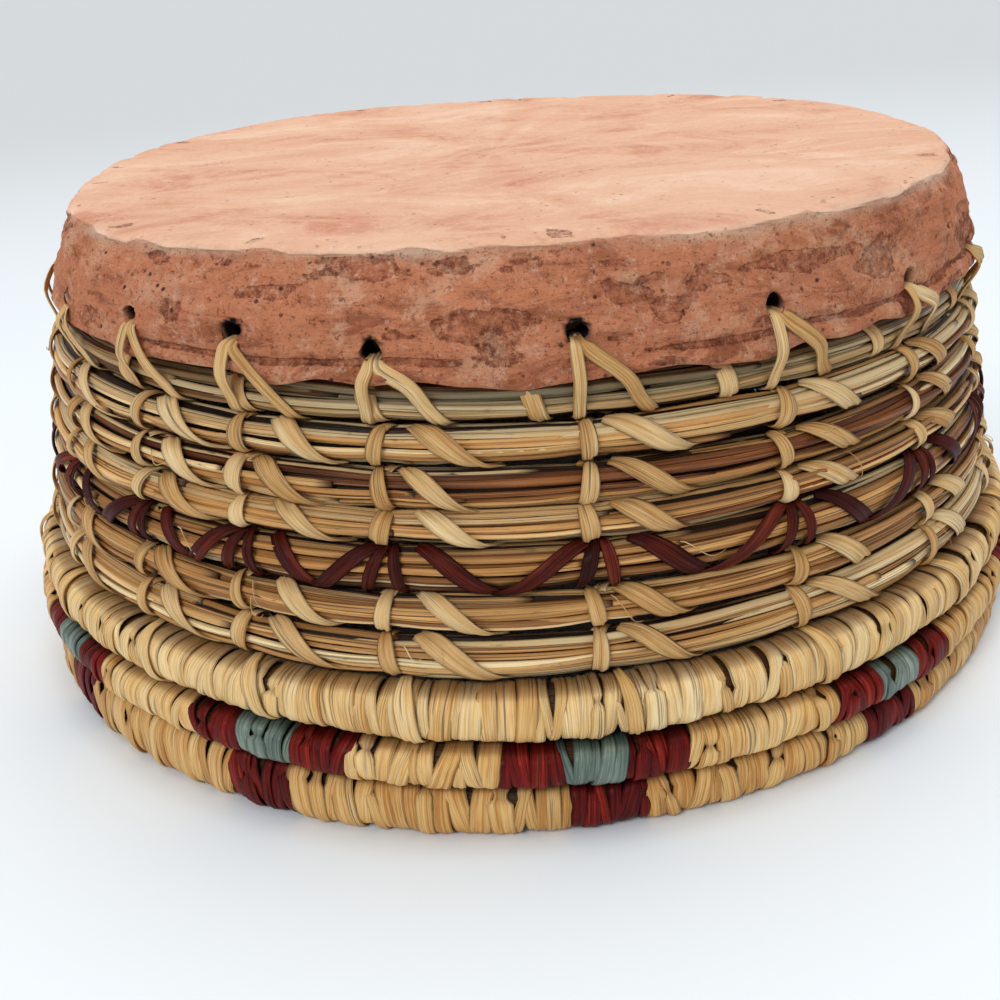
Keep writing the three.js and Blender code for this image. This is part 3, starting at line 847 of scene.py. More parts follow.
    def outward(self, place: Array, tilt: Array) -> Array:
        """Unit vector away from the centre line.

        Args:
            place: Places along the bundle.
            tilt: Angle up from level, in radians.

        Returns:
            Directions in space.
        """
        turn = np.radians(self.angle(place))
        level = np.cos(tilt)
        return np.stack([level * np.cos(turn), level * np.sin(turn), np.sin(tilt) + 0 * turn], -1)


COIL = Coil()


@dataclass(frozen=True)
class Scar:
    """Gouged patch on the clay's wall, darkened partly by real discolouring and partly by painted shade.

    Attributes:
        angle: Direction of its middle in degrees.
        height: Height of its middle in mm.
        wide: How far it reaches round the wall, in mm.
        tall: How far it reaches up the wall, in mm.
        depth: How deep it is, in mm.
        stain_and_shade: How dark it is, from 0 to 1, by real discolouring and painted shade.
    """

    angle: float
    height: float
    wide: float
    tall: float
    depth: float
    stain_and_shade: float


@dataclass
class ClayDish:
    """Hand-built clay dish, upside down: a sloping wall, an uneven edge and face, and a wavy lip."""

    height: float = 19.7
    lip_radius: float = 96.6
    shoulder_radius: float = 93.0
    edge_radius: float = 90.4
    wall_thickness: float = 6.2
    floor_thickness: float = 6.8
    hole_diameter: float = 3.8
    hole_height: float = 6.2
    # How far each hole lies above or under the others
    hole_rises: tuple[float, ...] = (0.8, 1.1, -0.7, -1.0, 0.4, -0.3, 0.5, 0.0, 0.6, -0.6, 0.2,
                                     0.7, -0.4, 0.3, -0.2, 0.5, -0.8, 1.0, 0.6, -1.1)
    sides: int = 720
    # Out-of-round of the face: shares of the radius for twice, three and four times the angle
    cosines: tuple[float, ...] = (0.003, 0.019, -0.024)
    sines: tuple[float, ...] = (-0.026, -0.002, 0.004)
    # Share of the radius by which the face is flattened at the front left, and where, in degrees
    flattened: float = 0.055
    flat_angle: float = -114.0
    flat_spread: float = 34.0
    # Main stretch of the ledge that stands out along the lip, in degrees
    ledge_start: float = -137.0
    ledge_end: float = -92.0
    # Where the pegs that cut the holes start and end, from the lip's radius, in mm
    peg_ends: tuple[float, float] = (-14.0, 4.0)
    # Share of a hole's length, from inside, whose walls are painted with shade
    painted_shade_share: float = 0.68
    # Radius of the rings round the axis, before each is joined to one point
    pole: float = 0.01
    scars: tuple[Scar, ...] = (
        Scar(-76.5, 88.0, 12.0, 4.6, 0.9, 0.95), Scar(-95.5, 84.6, 5.5, 4.5, 0.7, 0.8),
        Scar(-88.0, 92.2, 16.0, 1.3, 0.5, 0.35), Scar(-52.0, 86.6, 8.0, 4.4, 0.8, 0.8),
        Scar(-83.0, 82.2, 6.0, 1.4, 0.5, 0.5), Scar(-37.0, 88.0, 2.0, 7.0, 0.9, 0.6),
        Scar(-66.0, 90.3, 5.0, 1.6, 0.5, 0.4), Scar(-112.0, 90.0, 2.2, 5.0, 0.4, 0.4),
        Scar(-128.0, 86.0, 4.0, 3.0, 0.5, 0.5), Scar(20.0, 86.0, 11.0, 3.4, 0.8, 0.8),
        Scar(75.0, 89.0, 8.0, 3.0, 0.7, 0.7), Scar(128.0, 84.0, 13.0, 2.0, 0.6, 0.6),
        Scar(170.0, 88.0, 6.0, 5.0, 0.8, 0.7))

    def __post_init__(self) -> None:
        """Draws the dish's grain."""
        self.grain = Grain(11)

    @property
    def hole_level(self) -> float:
        """Height of the holes' centres."""
        return COIL.lip_height + self.hole_height

    def out_of_round(self, turn: Array, height: Array) -> Array:
        """Factor on the radius: 1 plus waves round the dish, full at the face and slight at the lip.

        Args:
            turn: Directions in radians.
            height: Heights in mm.

        Returns:
            The factor.
        """
        waves = sum(cosine * np.cos(order * turn) + sine * np.sin(order * turn)
                    for order, cosine, sine in zip((2, 3, 4), self.cosines, self.sines))
        share = ease((height - COIL.lip_height) / self.height)
        aside = turned_by(np.degrees(turn), self.flat_angle)
        flat = self.flattened * bell(aside, self.flat_spread) * share ** 3
        return 1 + waves * blend(0.12, 0.85, share) - flat

    def wall_radius(self, turn: Array, height: Array) -> Array:
        """Radius of the smooth outer wall.

        Args:
            turn: Directions in radians.
            height: Heights in mm.

        Returns:
            Radii in mm: a slope from the lip to the shoulder, made out of round.
        """
        share = np.clip((height - COIL.lip_height) / (self.height - 4.0), -0.2, 1)
        return blend(self.lip_radius, self.shoulder_radius, share) * self.out_of_round(turn, height)

    def _profile(self) -> tuple[Array, Array, Array]:
        """Outline of the dish from the lip's inner edge out, over the wall and face, and back inside.

        Returns:
            Radius, height over the lip and outer share of each ring, 1 on the outer side.
        """
        top = self.height
        ceiling = top - self.floor_thickness
        lip, shoulder, edge = self.lip_radius, self.shoulder_radius, self.edge_radius
        inner_lip = lip - self.wall_thickness
        inner_wall = shoulder - self.wall_thickness
        corners = [(inner_lip, 0.9), (inner_lip + 1.2, 0.1), (lip - 1.6, 0.0), (lip - 0.5, 0.25), (lip, 1.1),
                   (shoulder + 0.2, top - 4.6), (edge + 1.3, top - 1.9), (edge + 0.75, top - 0.9),
                   (edge - 0.1, top - 0.25), (edge - 1.6, top), (70.0, top), (30.0, top), (self.pole, top)]
        counts = [2, 4, 3, 3, 34, 5, 3, 3, 4, 24, 14, 6]
        inside = [(self.pole, ceiling), (50.0, ceiling), (inner_wall - 4.0, ceiling),
                  (inner_wall - 1.2, ceiling - 1.2), (inner_wall, ceiling - 4.0), (inner_lip, 0.9)]
        inside_counts = [5, 5, 3, 3, 6]
        rings = []
        for outline, steps in ((corners, counts), (inside, inside_counts)):
            for start, end, count in zip(outline[:-1], outline[1:], steps):
                share = np.linspace(0, 1, count, endpoint=False)[:, None]
                rings.append(blend(np.array(start), np.array(end), share))
        rings.insert(len(counts), np.array([corners[-1]]))
        outer_rings = sum(counts) + 1
        profile = np.concatenate(rings)
        outer = (np.arange(len(profile)) < outer_rings).astype(float)
        return profile[:, 0], profile[:, 1], outer

    def _relief(self, turn: Array, radius: Array, rise: Array,
                outer: Array) -> tuple[Array, Array, dict[str, Array]]:
        """Hand-worked surface: how far each point moves outwards and upwards, and its marks.

        Args:
            turn: Directions in radians, by ring and side.
            radius: Radii of the smooth dish.
            rise: Heights over the lip of the smooth dish.
            outer: 1 on the outer side and 0 inside.

        Returns:
            Outward and upward moves in mm, and the finish's marks.
        """
        height = rise + COIL.lip_height
        degrees = np.degrees(turn)
        spot = np.stack([radius * np.cos(turn), radius * np.sin(turn), height], -1)
        mean_radius = 95.0
        unrolled = np.stack([turn * mean_radius, height, np.zeros_like(turn)], -1)
        along_lip = unrolled * [1, 0, 1]
        grain = self.grain
        on_wall = ease((rise + 1) / 2) * (1 - ease((rise - self.height + 2.0) / 1.8)) * outer
        on_face = ease((rise - self.height + 0.9) / 0.8) * outer
        near_lip = 1 - ease(rise / 5.0)
        wave = 0.9 * grain.at(along_lip, 8.0) + 0.9 * grain.at(along_lip + 40, 22.0)
        up = near_lip * (wave - 0.2)
        out = on_wall * (0.6 * grain.rough(spot, 22.0, 3) + 0.5 * grain.rough(unrolled, (6.0, 2.2, 5.0), 4))
        ledge_rise = 3.0 + 1.1 * grain.at(along_lip + 90, 14.0)
        main_ledge = ease((degrees - self.ledge_start) / 8) * ease((self.ledge_end - degrees) / 8)
        ledge_reach = np.clip(main_ledge + ease(grain.at(along_lip, 60.0) * 3), 0, 1)
        ledge = ledge_reach * ease((ledge_rise - rise) / 0.9)
        out = out + ledge * 0.5 * outer - on_wall * 0.3
        groove = ledge_reach * bell(rise - ledge_rise - 0.2, 0.6)
        out = out - groove * 0.6 * on_wall
        stain_and_shade = 0.6 * ease((grain.rough(unrolled + 11, (13.0, 4.0, 9.0), 4) - 0.3) / 0.45) * on_wall
        # Painted shade in the groove above the ledge, carried in the same mark as the stains.
        stain_and_shade = np.maximum(stain_and_shade, 0.8 * groove * on_wall)
        ragged = grain.rough(unrolled, (4.0, 2.0, 4.0), 3)
        for scar in self.scars:
            aside = turned_by(degrees, scar.angle) * np.radians(mean_radius)
            reach = np.hypot(aside / scar.wide, (height - scar.height) / scar.tall) * 1.5 + ragged * 0.5
            patch = (1 - ease((reach - 0.7) / 0.5)) * on_wall
            out = out - patch * scar.depth * (0.3 + 1.1 * ease(ragged + 0.4))
            # Each scar's gouge is darkened, partly real discolouring and partly painted shade.
            stain_and_shade = np.maximum(stain_and_shade, patch * scar.stain_and_shade * ease(0.75 - ragged))
        dragged = grain.rough(spot * [0.35, 1, 1], 5.0, 3)
        up = up + on_face * (0.28 * grain.rough(spot, 34.0, 2) + 0.10 * dragged)
        near_edge = bell(radius - self.edge_radius + 0.6, 1.8) * ease((rise - self.height + 5) / 3) * outer
        chips = ease((grain.rough(unrolled, (6.0, 40.0, 4.0), 3) - 0.15) / 0.5)
        up = up - near_edge * 0.55 * chips
        out = out + near_edge * (0.5 * grain.at(along_lip, 13.0) - 0.4 * chips)
        cracks = ease((grain.rough(along_lip + 17, 3.0, 2) - 0.5) / 0.15)
        front = bell(radius - self.edge_radius + 3.2, 2.6) * on_face
        up = up - cracks * front * 0.35
        worn = 0.5 + 0.5 * grain.at(unrolled, (12.0, 5.0, 5.0))
        edge = bell(rise - self.height + 1.0, 1.1) * outer * worn
        border = ease((rise - self.height + 1.2 + 0.6 * grain.at(along_lip, 7.0)) / 0.4) * outer
        # Painted shade in the cracks near the face's edge is added to the stain mark.
        marks = {"face": border, "stain_and_shade": np.clip(stain_and_shade + cracks * front * 0.6, 0, 1),
                 "edge": np.clip(edge, 0, 1), "painted_hole_shade": np.zeros_like(out)}
        return out, up, marks

    def _close_poles(self, mesh: bpy.types.Mesh, rings: int, last_outer: int) -> None:
        """Joins the ring of points round the axis to one point, on the face and inside.

        Args:
            mesh: The dish.
            rings: Number of rings in its profile.
            last_outer: Number of the last ring of the outer side.
        """
        form = bmesh.new()
        form.from_mesh(mesh)
        form.verts.ensure_lookup_table()
        poles = [[form.verts[side * rings + ring] for side in range(self.sides)]
                 for ring in (last_outer, last_outer + 1)]
        for points in poles:
            centre = sum((point.co for point in points), Vector()) / len(points)
            bmesh.ops.pointmerge(form, verts=points, merge_co=centre)
        bare = [edge for edge in form.edges if not edge.link_faces]
        bmesh.ops.delete(form, geom=bare, context="EDGES")
        form.to_mesh(mesh)
        form.free()

    def _paint_hole_shade(self, mesh: bpy.types.Mesh, ends: Array) -> None:
        """Paints shade on the walls of the holes, where they lie in the dark inside.

        Args:
            mesh: The dish with its holes.
            ends: Inner and outer end of each hole's axis in mm, by hole, end and axis.
        """
        places = np.empty(len(mesh.vertices) * 3, np.float32)
        mesh.vertices.foreach_get("co", places)
        start, along = ends[:, 0], ends[:, 1] - ends[:, 0]
        offset = places.reshape(-1, 1, 3) / MM - start
        share = (offset * along).sum(-1) / (along ** 2).sum(-1)
        away = np.linalg.norm(offset - share[..., None] * along, axis=-1)
        near = away < self.hole_diameter * 0.57
        # Painted shade on the walls near each hole's inner end, fading out towards the outside.
        dark = ease((self.painted_shade_share - share) / 0.05) * near * (share > 0)
        mesh.attributes["painted_hole_shade"].data.foreach_set("value", dark.max(axis=1).astype(np.float32))

    def _hole_cutter(self) -> tuple[bpy.types.Object, Array]:
        """Uneven pegs that the holes are cut with.

        Returns:
            The pegs, and the inner and outer end of each one's axis.
        """
        around, rings_each = 16, 21
        degrees = COIL.columns
        turn = np.radians(degrees)
        first, last = self.peg_ends
        out = np.linspace(self.lip_radius + first, self.lip_radius + last, rings_each)
        lap = np.linspace(0, TAU, around, endpoint=False)
        size = self.hole_diameter / 2 * (1 + 0.08 * np.sin(3 * lap[None] + degrees[:, None]))
        radial = np.stack([np.cos(turn), np.sin(turn), 0 * turn], -1)[:, None, None]
        sideways = np.stack([-np.sin(turn), np.cos(turn), 0 * turn], -1)[:, None, None]
        flare = blend(0.92, 1.0, ease((out - self.lip_radius + 4) / 4))[None, :, None]
        reach = size[:, None] * flare
        level = self.hole_level + np.array(self.hole_rises)[:, None, None]
        rings = (radial * out[None, :, None, None] + sideways * (reach * np.cos(lap))[..., None]
                 + np.array([0, 0, 1.0]) * (level + 0.92 * reach * np.sin(lap))[..., None])
        along = np.zeros((len(degrees), len(out)))
        skin = Skin(rings, along, np.zeros(around + 1))
        quads = skin.faces()
        places = SETTLING.lean(rings.reshape(-1, 3))
        if signed_volume(places, quads) < 0:
            quads = quads[:, ::-1]
        mesh = bpy.data.meshes.new("hole_cutter")
        mesh.from_pydata((places * MM).tolist(), [], quads.tolist())
        cutter = bpy.data.objects.new("hole_cutter", mesh)
        bpy.context.scene.collection.objects.link(cutter)
        ends = places.reshape(rings.shape).mean(axis=2)[:, [0, -1]]
        return cutter, ends

    def build(self) -> bpy.types.Object:
        """Makes the dish: its profile carried round the axis, with the relief, and the holes cut out.

        Returns:
            The dish.
        """
        radius, rise, outer = (values[:, None] for values in self._profile())
        turn = np.linspace(-np.pi, np.pi, self.sides, endpoint=False)[None]
        radius, rise, outer, turn = np.broadcast_arrays(radius, rise, outer, turn)
        out, up, marks = self._relief(turn, radius, rise, outer)
        height = rise + COIL.lip_height
        full = radius * self.out_of_round(turn, height) + out
        rings = np.stack([full * np.cos(turn), full * np.sin(turn), height + up], -1)[None]
        length = np.concatenate([[0], np.cumsum(np.hypot(np.diff(radius[:, 0]), np.diff(rise[:, 0])))])
        lap = np.linspace(0, TAU, self.sides + 1) * self.lip_radius
        skin = Skin(np.swapaxes(rings, 1, 2), lap[None, :-1], np.append(length, length[-1] + 1.0),
                    {key: np.swapaxes(values[None], 1, 2) for key, values in marks.items()}, looped=True)
        dish = make_piece("clay_dish", [skin], ClayFinish().make(), ["clay_base"])
        self._close_poles(dish.data, len(radius), int(outer[:, 0].sum()) - 1)
        cutter, ends = self._hole_cutter()
        cut = dish.modifiers.new("holes", "BOOLEAN")
        cut.operation = "DIFFERENCE"
        cut.solver = "EXACT"
        cut.object = cutter
        depsgraph = bpy.context.evaluated_depsgraph_get()
        mesh = bpy.data.meshes.new_from_object(dish.evaluated_get(depsgraph), depsgraph=depsgraph)
        dish.modifiers.clear()
        self._paint_hole_shade(mesh, ends)
        plain = dish.data
        dish.data = mesh
        bpy.data.meshes.remove(plain)
        bpy.data.objects.remove(cutter)
        return dish


@dataclass
class NeedleBundle:
    """The coil's needles: long tapered needles laid in lanes round a core painted with shade, each a mesh
    tube.
    """

    lanes: int = 14
    loose_lanes: int = 7
    spacing: float = 190.0
    half_width: float = 0.65
    half_depth: float = 0.62
    sink: float = 0.60
    segments: int = 68
    around: int = 6
    first_place: float = -1.4
    last_place: float = 170.5
    # Shares of a needle's length that taper to its tip and that come up to its butt
    tip_share: float = 0.16
    butt_share: float = 0.07
    # How far the core stays inside the bundle's sides, and stands over its top, in mm
    core_inset: float = 1.35
    core_rise: float = 0.15
    # Shortest needle that is laid, in mm
    shortest: float = 8.0
    # Spacing and length of the loose needles, as a share of the others'
    loose_spacing: float = 0.62
    loose_length: float = 0.75

    def __post_init__(self) -> None:
        """Draws the bundle's grain and starts the random draws."""
        self.grain = Grain(23)
        self.random = np.random.default_rng(5)

    def _needles(self, lane: Array, start: Array, length: Array, loose: bool) -> tuple[Array, Skin]:
        """Tubes of some needles.

        Each needle's centre keeps an angle round the bundle that wanders, at a depth that rises
        from inside the bundle at its tip and stays on the surface to its cut butt.

        Args:
            lane: Angle round the bundle of each needle, in radians.
            start: Place where each needle's tip lies.
            length: Length of each in mm.
            loose: Whether they lie over the others and cross them.

        Returns:
            The turn that each needle starts in, and the needles.
        """
        draws = self.random.uniform(0, 1, (6, len(lane), 1))
        slant, deeper, tucked, fatness, colour, shaded = draws
        share = np.linspace(0, 1, self.segments + 1)[None]
        place = start[:, None] + share * (length / COIL.mm_per_step(start))[:, None]
        spot = np.stack([place * COIL.pattern_step, lane[:, None] * 40.0 + 0 * place, 0 * place], -1)
        drift = (slant - 0.5) * (1.9 if loose else 0.55)
        angle = lane[:, None] + 0.26 * self.grain.at(spot, 42.0) + drift * (share - 0.5)
        half_width, half_height = COIL.bundle_size(place, self.grain)
        tip = 1 - ease(share / self.tip_share)
        butt = ease((share - 1 + self.butt_share) / self.butt_share)
        depth = 0.25 * self.grain.at(spot + 300, 23.0) - 1.5 * tip + (deeper - 0.5) * 0.75
        if loose:
            depth = depth + 0.5 - 1.2 * (butt - bell(share - 1, 0.02)) * (tucked > 0.5)
        else:
            depth = depth + 0.2 * butt
        thick = (0.68 + 0.55 * fatness) * blend(0.4, 1, ease(share / 0.3))
        thick = thick * (1 - 0.25 * (share > 1 - 1e-9))
        across, high = np.cos(angle), np.sin(angle)
        middle_out = (half_width - self.sink + depth) * across
        middle_up = (half_height - self.sink + depth) * high
        lap = np.linspace(0, TAU, self.around, endpoint=False) + 0.3
        wide = (thick * self.half_width)[..., None] * np.cos(lap)
        deep = (thick * self.half_depth)[..., None] * np.sin(lap)
        out = middle_out[..., None] + deep * across[..., None] - wide * high[..., None]
        up = middle_up[..., None] + deep * high[..., None] + wide * across[..., None]
        rings = COIL.point(np.broadcast_to(place[..., None], out.shape), out, up)
        along = share * length[:, None]
        tint = np.broadcast_to(np.clip(colour ** 1.5, 0, 1)[..., None], out.shape)
        first_row = 1 - ease(COIL.level_at(place))
        # Painted shade: a little on a quarter of the needles, chosen at random; on the first row, most at its
        # top, under the clay's lip; and on the top and bottom of every row, where the rows meet.
        shade = 0.2 * (shaded > 0.75) + first_row * (0.4 + 0.35 * ease(high))
        shade = shade + 0.45 * ease(np.abs(high) - 0.35)
        shade = np.clip(shade, 0, 0.8)[..., None]
        marks = {"tint": tint, "shade": np.broadcast_to(shade, out.shape),
                 "cut": np.broadcast_to(ease((along - length[:, None] + 1.3) / 0.6)[..., None], out.shape)}
        turn = np.clip(np.floor(start / COIL.steps), 0, COIL.rows - 1)
        return turn, Skin(rings, along, np.linspace(0, 4.2, self.around + 1), marks)

    def _core(self) -> Skin:
        """Tube inside the bare rows, painted near-black with shade, that closes the view between needles.

        Returns:
            The tube, narrower at its start.
        """
        around = 12
        place = np.arange(self.first_place, self.last_place, 0.25)[None]
        half_width, half_height = COIL.bundle_size(place, self.grain)
        lap = np.linspace(0, TAU, around, endpoint=False)
        narrow = blend(0.3, 1.0, ease((place - self.first_place) / 1.5))[..., None]
        out = (half_width[..., None] - self.core_inset) * np.cos(lap) * narrow
        up = (half_height[..., None] + self.core_rise) * np.sin(lap) * narrow
        rings = COIL.point(np.broadcast_to(place[..., None], out.shape), out, up)
        # Painted shade: the core is coloured almost wholly with the needles' near-black shade colour.
        marks = {"tint": np.full(out.shape, 0.9), "shade": np.full(out.shape, 0.95),
                 "cut": np.zeros(out.shape)}
        return Skin(rings, place * COIL.pattern_step, np.linspace(0, 16, around + 1), marks)

    def build(self) -> None:
        """Makes the core, and one piece for the needles of each row."""
        material = NeedleFinish().make()
        mm = float(np.mean(COIL.mm_per_step(np.arange(COIL.rows) * COIL.steps)))
        total = (self.last_place - self.first_place) * mm
        turns, skins = [], []
        layers = ((self.lanes, self.spacing, False),
                  (self.loose_lanes, self.spacing * self.loose_spacing, True))
        for lanes, spacing, loose in layers:
            in_lane = int(total / spacing) + 2
            stray = self.random.uniform(-0.12, 0.12, lanes * in_lane)
            lane = np.repeat(np.arange(lanes), in_lane) / lanes * TAU + stray
            if loose:
                lane = self.random.uniform(0, TAU, lanes * in_lane)
            number = np.tile(np.arange(in_lane), lanes) + np.repeat(self.random.uniform(0, 1, lanes), in_lane)
            number = number + self.random.uniform(-0.2, 0.2, len(lane)) - 0.5
            start = self.first_place + number * spacing / mm
            longest = self.last_place - start
            shorter = self.loose_length if loose else 1
            length = spacing * self.random.uniform(1.04, 1.28, len(lane)) * shorter
            start = np.maximum(start, self.first_place)
            keep = longest * mm > self.shortest
            length = np.minimum(length, longest * mm)
            turn, skin = self._needles(lane[keep], start[keep], length[keep], loose)
            turns.append(turn)
            skins.append(skin)
        nodes = list(COIL.nodes)
        make_piece("needle_core_in_shade", [self._core()], material, nodes)
        for row in range(COIL.rows):
            parts = [skin.chosen(turn == row) for turn, skin in zip(turns, skins)]
            make_piece(f"needles_row_{row + 1}", parts, material, nodes)


@dataclass(frozen=True)
class Ribbon:
    """Cross-section of a flat strand, and how it is carried along a path.

    Attributes:
        steps: Steps along a strand.
        top_points: Points across its top.
        thickness: Thickness in mm.
        crease: Height of its lengthwise creases in mm.
    """

    steps: int = 22
    top_points: int = 9
    thickness: float = 0.5
    crease: float = 0.13

    def wrap(self, middle: Array, normal: Array, width: Array, twist: Array, seeds: Array) -> Skin:
        """Carries the section along each path.

        At each step the section's width lies across the path and along the surface, turned by the
        twist. Its top is a flattened arch with lengthwise creases, and its back is flat.

        Args:
            middle: Points of each path, by strand and step.
            normal: Direction away from what the strand lies on, of the same shape.
            width: Full width by strand and step.
            twist: Turn about the path in radians, by strand and step.
            seeds: One value from 0 to 1 for each strand.

        Returns:
            The strands.
        """
        ahead = np.gradient(middle, axis=1)
        ahead /= np.linalg.norm(ahead, axis=-1, keepdims=True)
        side = np.cross(ahead, normal)
        side /= np.linalg.norm(side, axis=-1, keepdims=True)
        lift = np.cross(side, ahead)
        cosine, sine = np.cos(twist)[..., None], np.sin(twist)[..., None]
        side, lift = side * cosine + lift * sine, lift * cosine - side * sine
        top = np.linspace(-1, 1, self.top_points)
        back = np.linspace(1, -1, self.top_points)[1:-1]
        v = np.concatenate([top, back])
        is_top = np.arange(len(v)) < self.top_points
        arch = np.where(is_top, 1, -0.55) * np.sqrt(np.clip(1 - v * v, 0, 1)) * self.thickness / 2
        phase = seeds[:, None] * 40
        folds = np.sin(4.7 * v + phase) + 0.7 * np.sin(9.1 * v + phase * 1.7)
        raise_by = arch + self.crease * folds * (1 - v ** 4)
        wide = (width / 2)[..., None] * v
        rings = (middle[:, :, None] + side[:, :, None] * wide[..., None]
                 + lift[:, :, None] * np.broadcast_to(raise_by[:, None], wide.shape)[..., None])
        spans = np.linalg.norm(np.diff(middle, axis=1), axis=-1)
        along = np.concatenate([np.zeros((len(middle), 1)), np.cumsum(spans, axis=1)], axis=1)
        across = np.append(v, -1.0) * float(np.mean(width)) / 2
        tint = np.broadcast_to(seeds[:, None, None], rings.shape[:3])
        # Painted shade toward both edges of the strand.
        shade = np.broadcast_to((0.35 * np.abs(v) ** 6)[None, None], rings.shape[:3])
        return Skin(rings, along, across, {"tint": tint, "shade": shade})


def smooth_path(controls: Array, steps: int) -> Array:
    """Curve through control points: a cubic between each two of them.

    At each control the cubic runs along the line between its two neighbours.

    Args:
        controls: Points by strand and number.
        steps: How many steps the curve has.

    Returns:
        Points by strand and step, evenly spread over the controls.
    """
    padded = np.concatenate([2 * controls[:, :1] - controls[:, 1:2], controls,
                             2 * controls[:, -1:] - controls[:, -2:-1]], axis=1)
    where = np.linspace(0, controls.shape[1] - 1 - 1e-6, steps + 1)
    index = where.astype(int)
    t = (where - index)[None, :, None]
    a, b, c, d = (padded[:, index + shift] for shift in range(4))
    lower_powers = 2 * b + (c - a) * t + (2 * a - 5 * b + 4 * c - d) * t * t
    return 0.5 * (lower_powers + (3 * b - a - 3 * c + d) * t ** 3)


@dataclass
class Lacing:
    """Raffia stitches: from each hole in the clay a column of uprights, each with a wing beside it."""

    dish: ClayDish
    bundle: NeedleBundle
    upright_width: tuple[float, float] = (2.7, 3.5)
    wing_width: tuple[float, float] = (3.3, 4.2)
    wing_foot: tuple[float, float] = (9.2, 11.8)
    wing_head: tuple[float, float] = (1.5, 4.2)
    short_head: tuple[float, float] = (12.6, 14.4)
    short_width: tuple[float, float] = (3.0, 3.8)
    inner_width: tuple[float, float] = (2.3, 3.0)
    # Angles round a row, in radians, where a stitch comes out and where it goes in
    upright_arc: tuple[float, float] = (1.75, -1.7)
    wing_arc: tuple[float, float] = (1.55, -1.6)
    short_arc: tuple[float, float] = (1.5, -1.6)
    inner_arc: tuple[float, float] = (1.4, TAU - 1.5)
    # Strands at each hole: degrees from the hole to the upper end and to the lower end, width in mm,
    # and whether it runs down the dish's inner side
    hole_layout: tuple[tuple[float, tuple[float, float], tuple[float, float], bool], ...] = (
        (-0.35, (-1.3, -0.3), (1.9, 2.7), False), (0.4, (5.6, 7.4), (2.2, 2.9), False),
        (0.2, (-0.5, 2.0), (2.2, 2.8), True))
    zigzag_row: int = 4
    ribbon: Ribbon = Ribbon()

    def __post_init__(self) -> None:
        """Starts the random draws."""
        self.random = np.random.default_rng(41)
        self.share = np.linspace(0, 1, self.ribbon.steps + 1)[None]

    def draw(self, low: float, high: float, count: int) -> Array:
        """Random values, one for each strand, as a column."""
        return self.random.uniform(low, high, (count, 1))

    def over_row(self, row: Array, degrees: Array, angle: Array, lift: Array, width: Array,
                 twist: Array) -> Skin:
        """Strands over the side of a bare row.

        Args:
            row: Row of each strand, a column.
            degrees: Direction of each strand at each step.
            angle: Angle round the bundle at each step, in radians.
            lift: Height over the needles at each step.
            width: Full width at each step.
            twist: Turn about its path at each step.

        Returns:
            The strands.
        """
        degrees, angle, lift, width, twist, row = np.broadcast_arrays(degrees, angle, lift, width, twist, row)
        middle_degrees = degrees[:, degrees.shape[1] // 2][:, None]
        middle_place = COIL.place_of(middle_degrees, row[:, :1])
        place = middle_place + (degrees - middle_degrees) / COIL.step_angle
        half_width, half_height = COIL.bundle_size(place, self.bundle.grain)
        middle = COIL.point(place, (half_width + lift) * np.cos(angle), (half_height + lift) * np.sin(angle))
        normal = COIL.outward(place, angle)
        seeds = self.random.uniform(0, 1, len(degrees))
        return self.ribbon.wrap(middle, normal, width, twist, seeds)

    def uprights(self, columns: Array, row: int) -> Skin:
        """One lens-shaped twisted stitch over a row at each column.

        The strand goes over the row from groove to groove, leaning a little to one side, widest at
        the belly and drawn in at both ends.

        Args:
            columns: Directions of the columns.
            row: The row.

        Returns:
            The stitches.
        """
        count, share = len(columns), self.share
        lean = self.draw(0.3, 1.4, count) * np.where((row + np.arange(count)) % 2, 1, -1)[:, None]
        degrees = columns[:, None] + self.draw(-0.3, 0.3, count) + lean * (share - 0.5)
        angle = blend(*self.upright_arc, share)
        belly = np.sin(np.pi * share)
        width = self.draw(*self.upright_width, count) * (0.55 + 0.45 * belly)
        twist = (share - 0.5) * self.draw(0.4, 1.0, count) * np.sign(lean)
        return self.over_row(np.full((count, 1), row), degrees, angle, 0.35 + 0.55 * belly, width, twist)

    def wings(self, columns: Array, row: int) -> Skin:
        """The slanted strand beside each upright: broad at the row's top, narrow where it tucks under.

        Args:
            columns: Directions of the columns.
            row: The row.

        Returns:
            The strands.
        """
        count, share = len(columns), self.share
        head = self.draw(*self.wing_head, count)
        foot = self.draw(*self.wing_foot, count)
        degrees = columns[:, None] + blend(head, foot, share)
        angle = blend(*self.wing_arc, share)
        belly = np.sin(np.pi * share)
        taper = blend(1, self.draw(0.62, 0.85, count), ease((share - 0.3) / 0.7))
        width = self.draw(*self.wing_width, count) * taper * (0.75 + 0.25 * ease(share / 0.2))
        twist = self.draw(-0.35, 0.35, count) * (share - 0.3)
        return self.over_row(np.full((count, 1), row), degrees, angle, 0.3 + 0.3 * belly, width, twist)

    def short_stitches(self, columns: Array) -> Skin:
        """Ends of strands that come from behind over the first row, between the columns.

        Args:
            columns: Directions of the columns.

        Returns:
            The strands.
        """
        count, share = len(columns), self.share
        head = columns[:, None] + self.draw(*self.short_head, count)
        degrees = head + blend(0, self.draw(1.3, 2.2, count), share)
        angle = blend(*self.short_arc, share)
        lift = 0.25 + 0.3 * np.sin(np.pi * share)
        width = self.draw(*self.short_width, count)
        return self.over_row(np.zeros((count, 1)), degrees, angle, lift, width, 0.0)

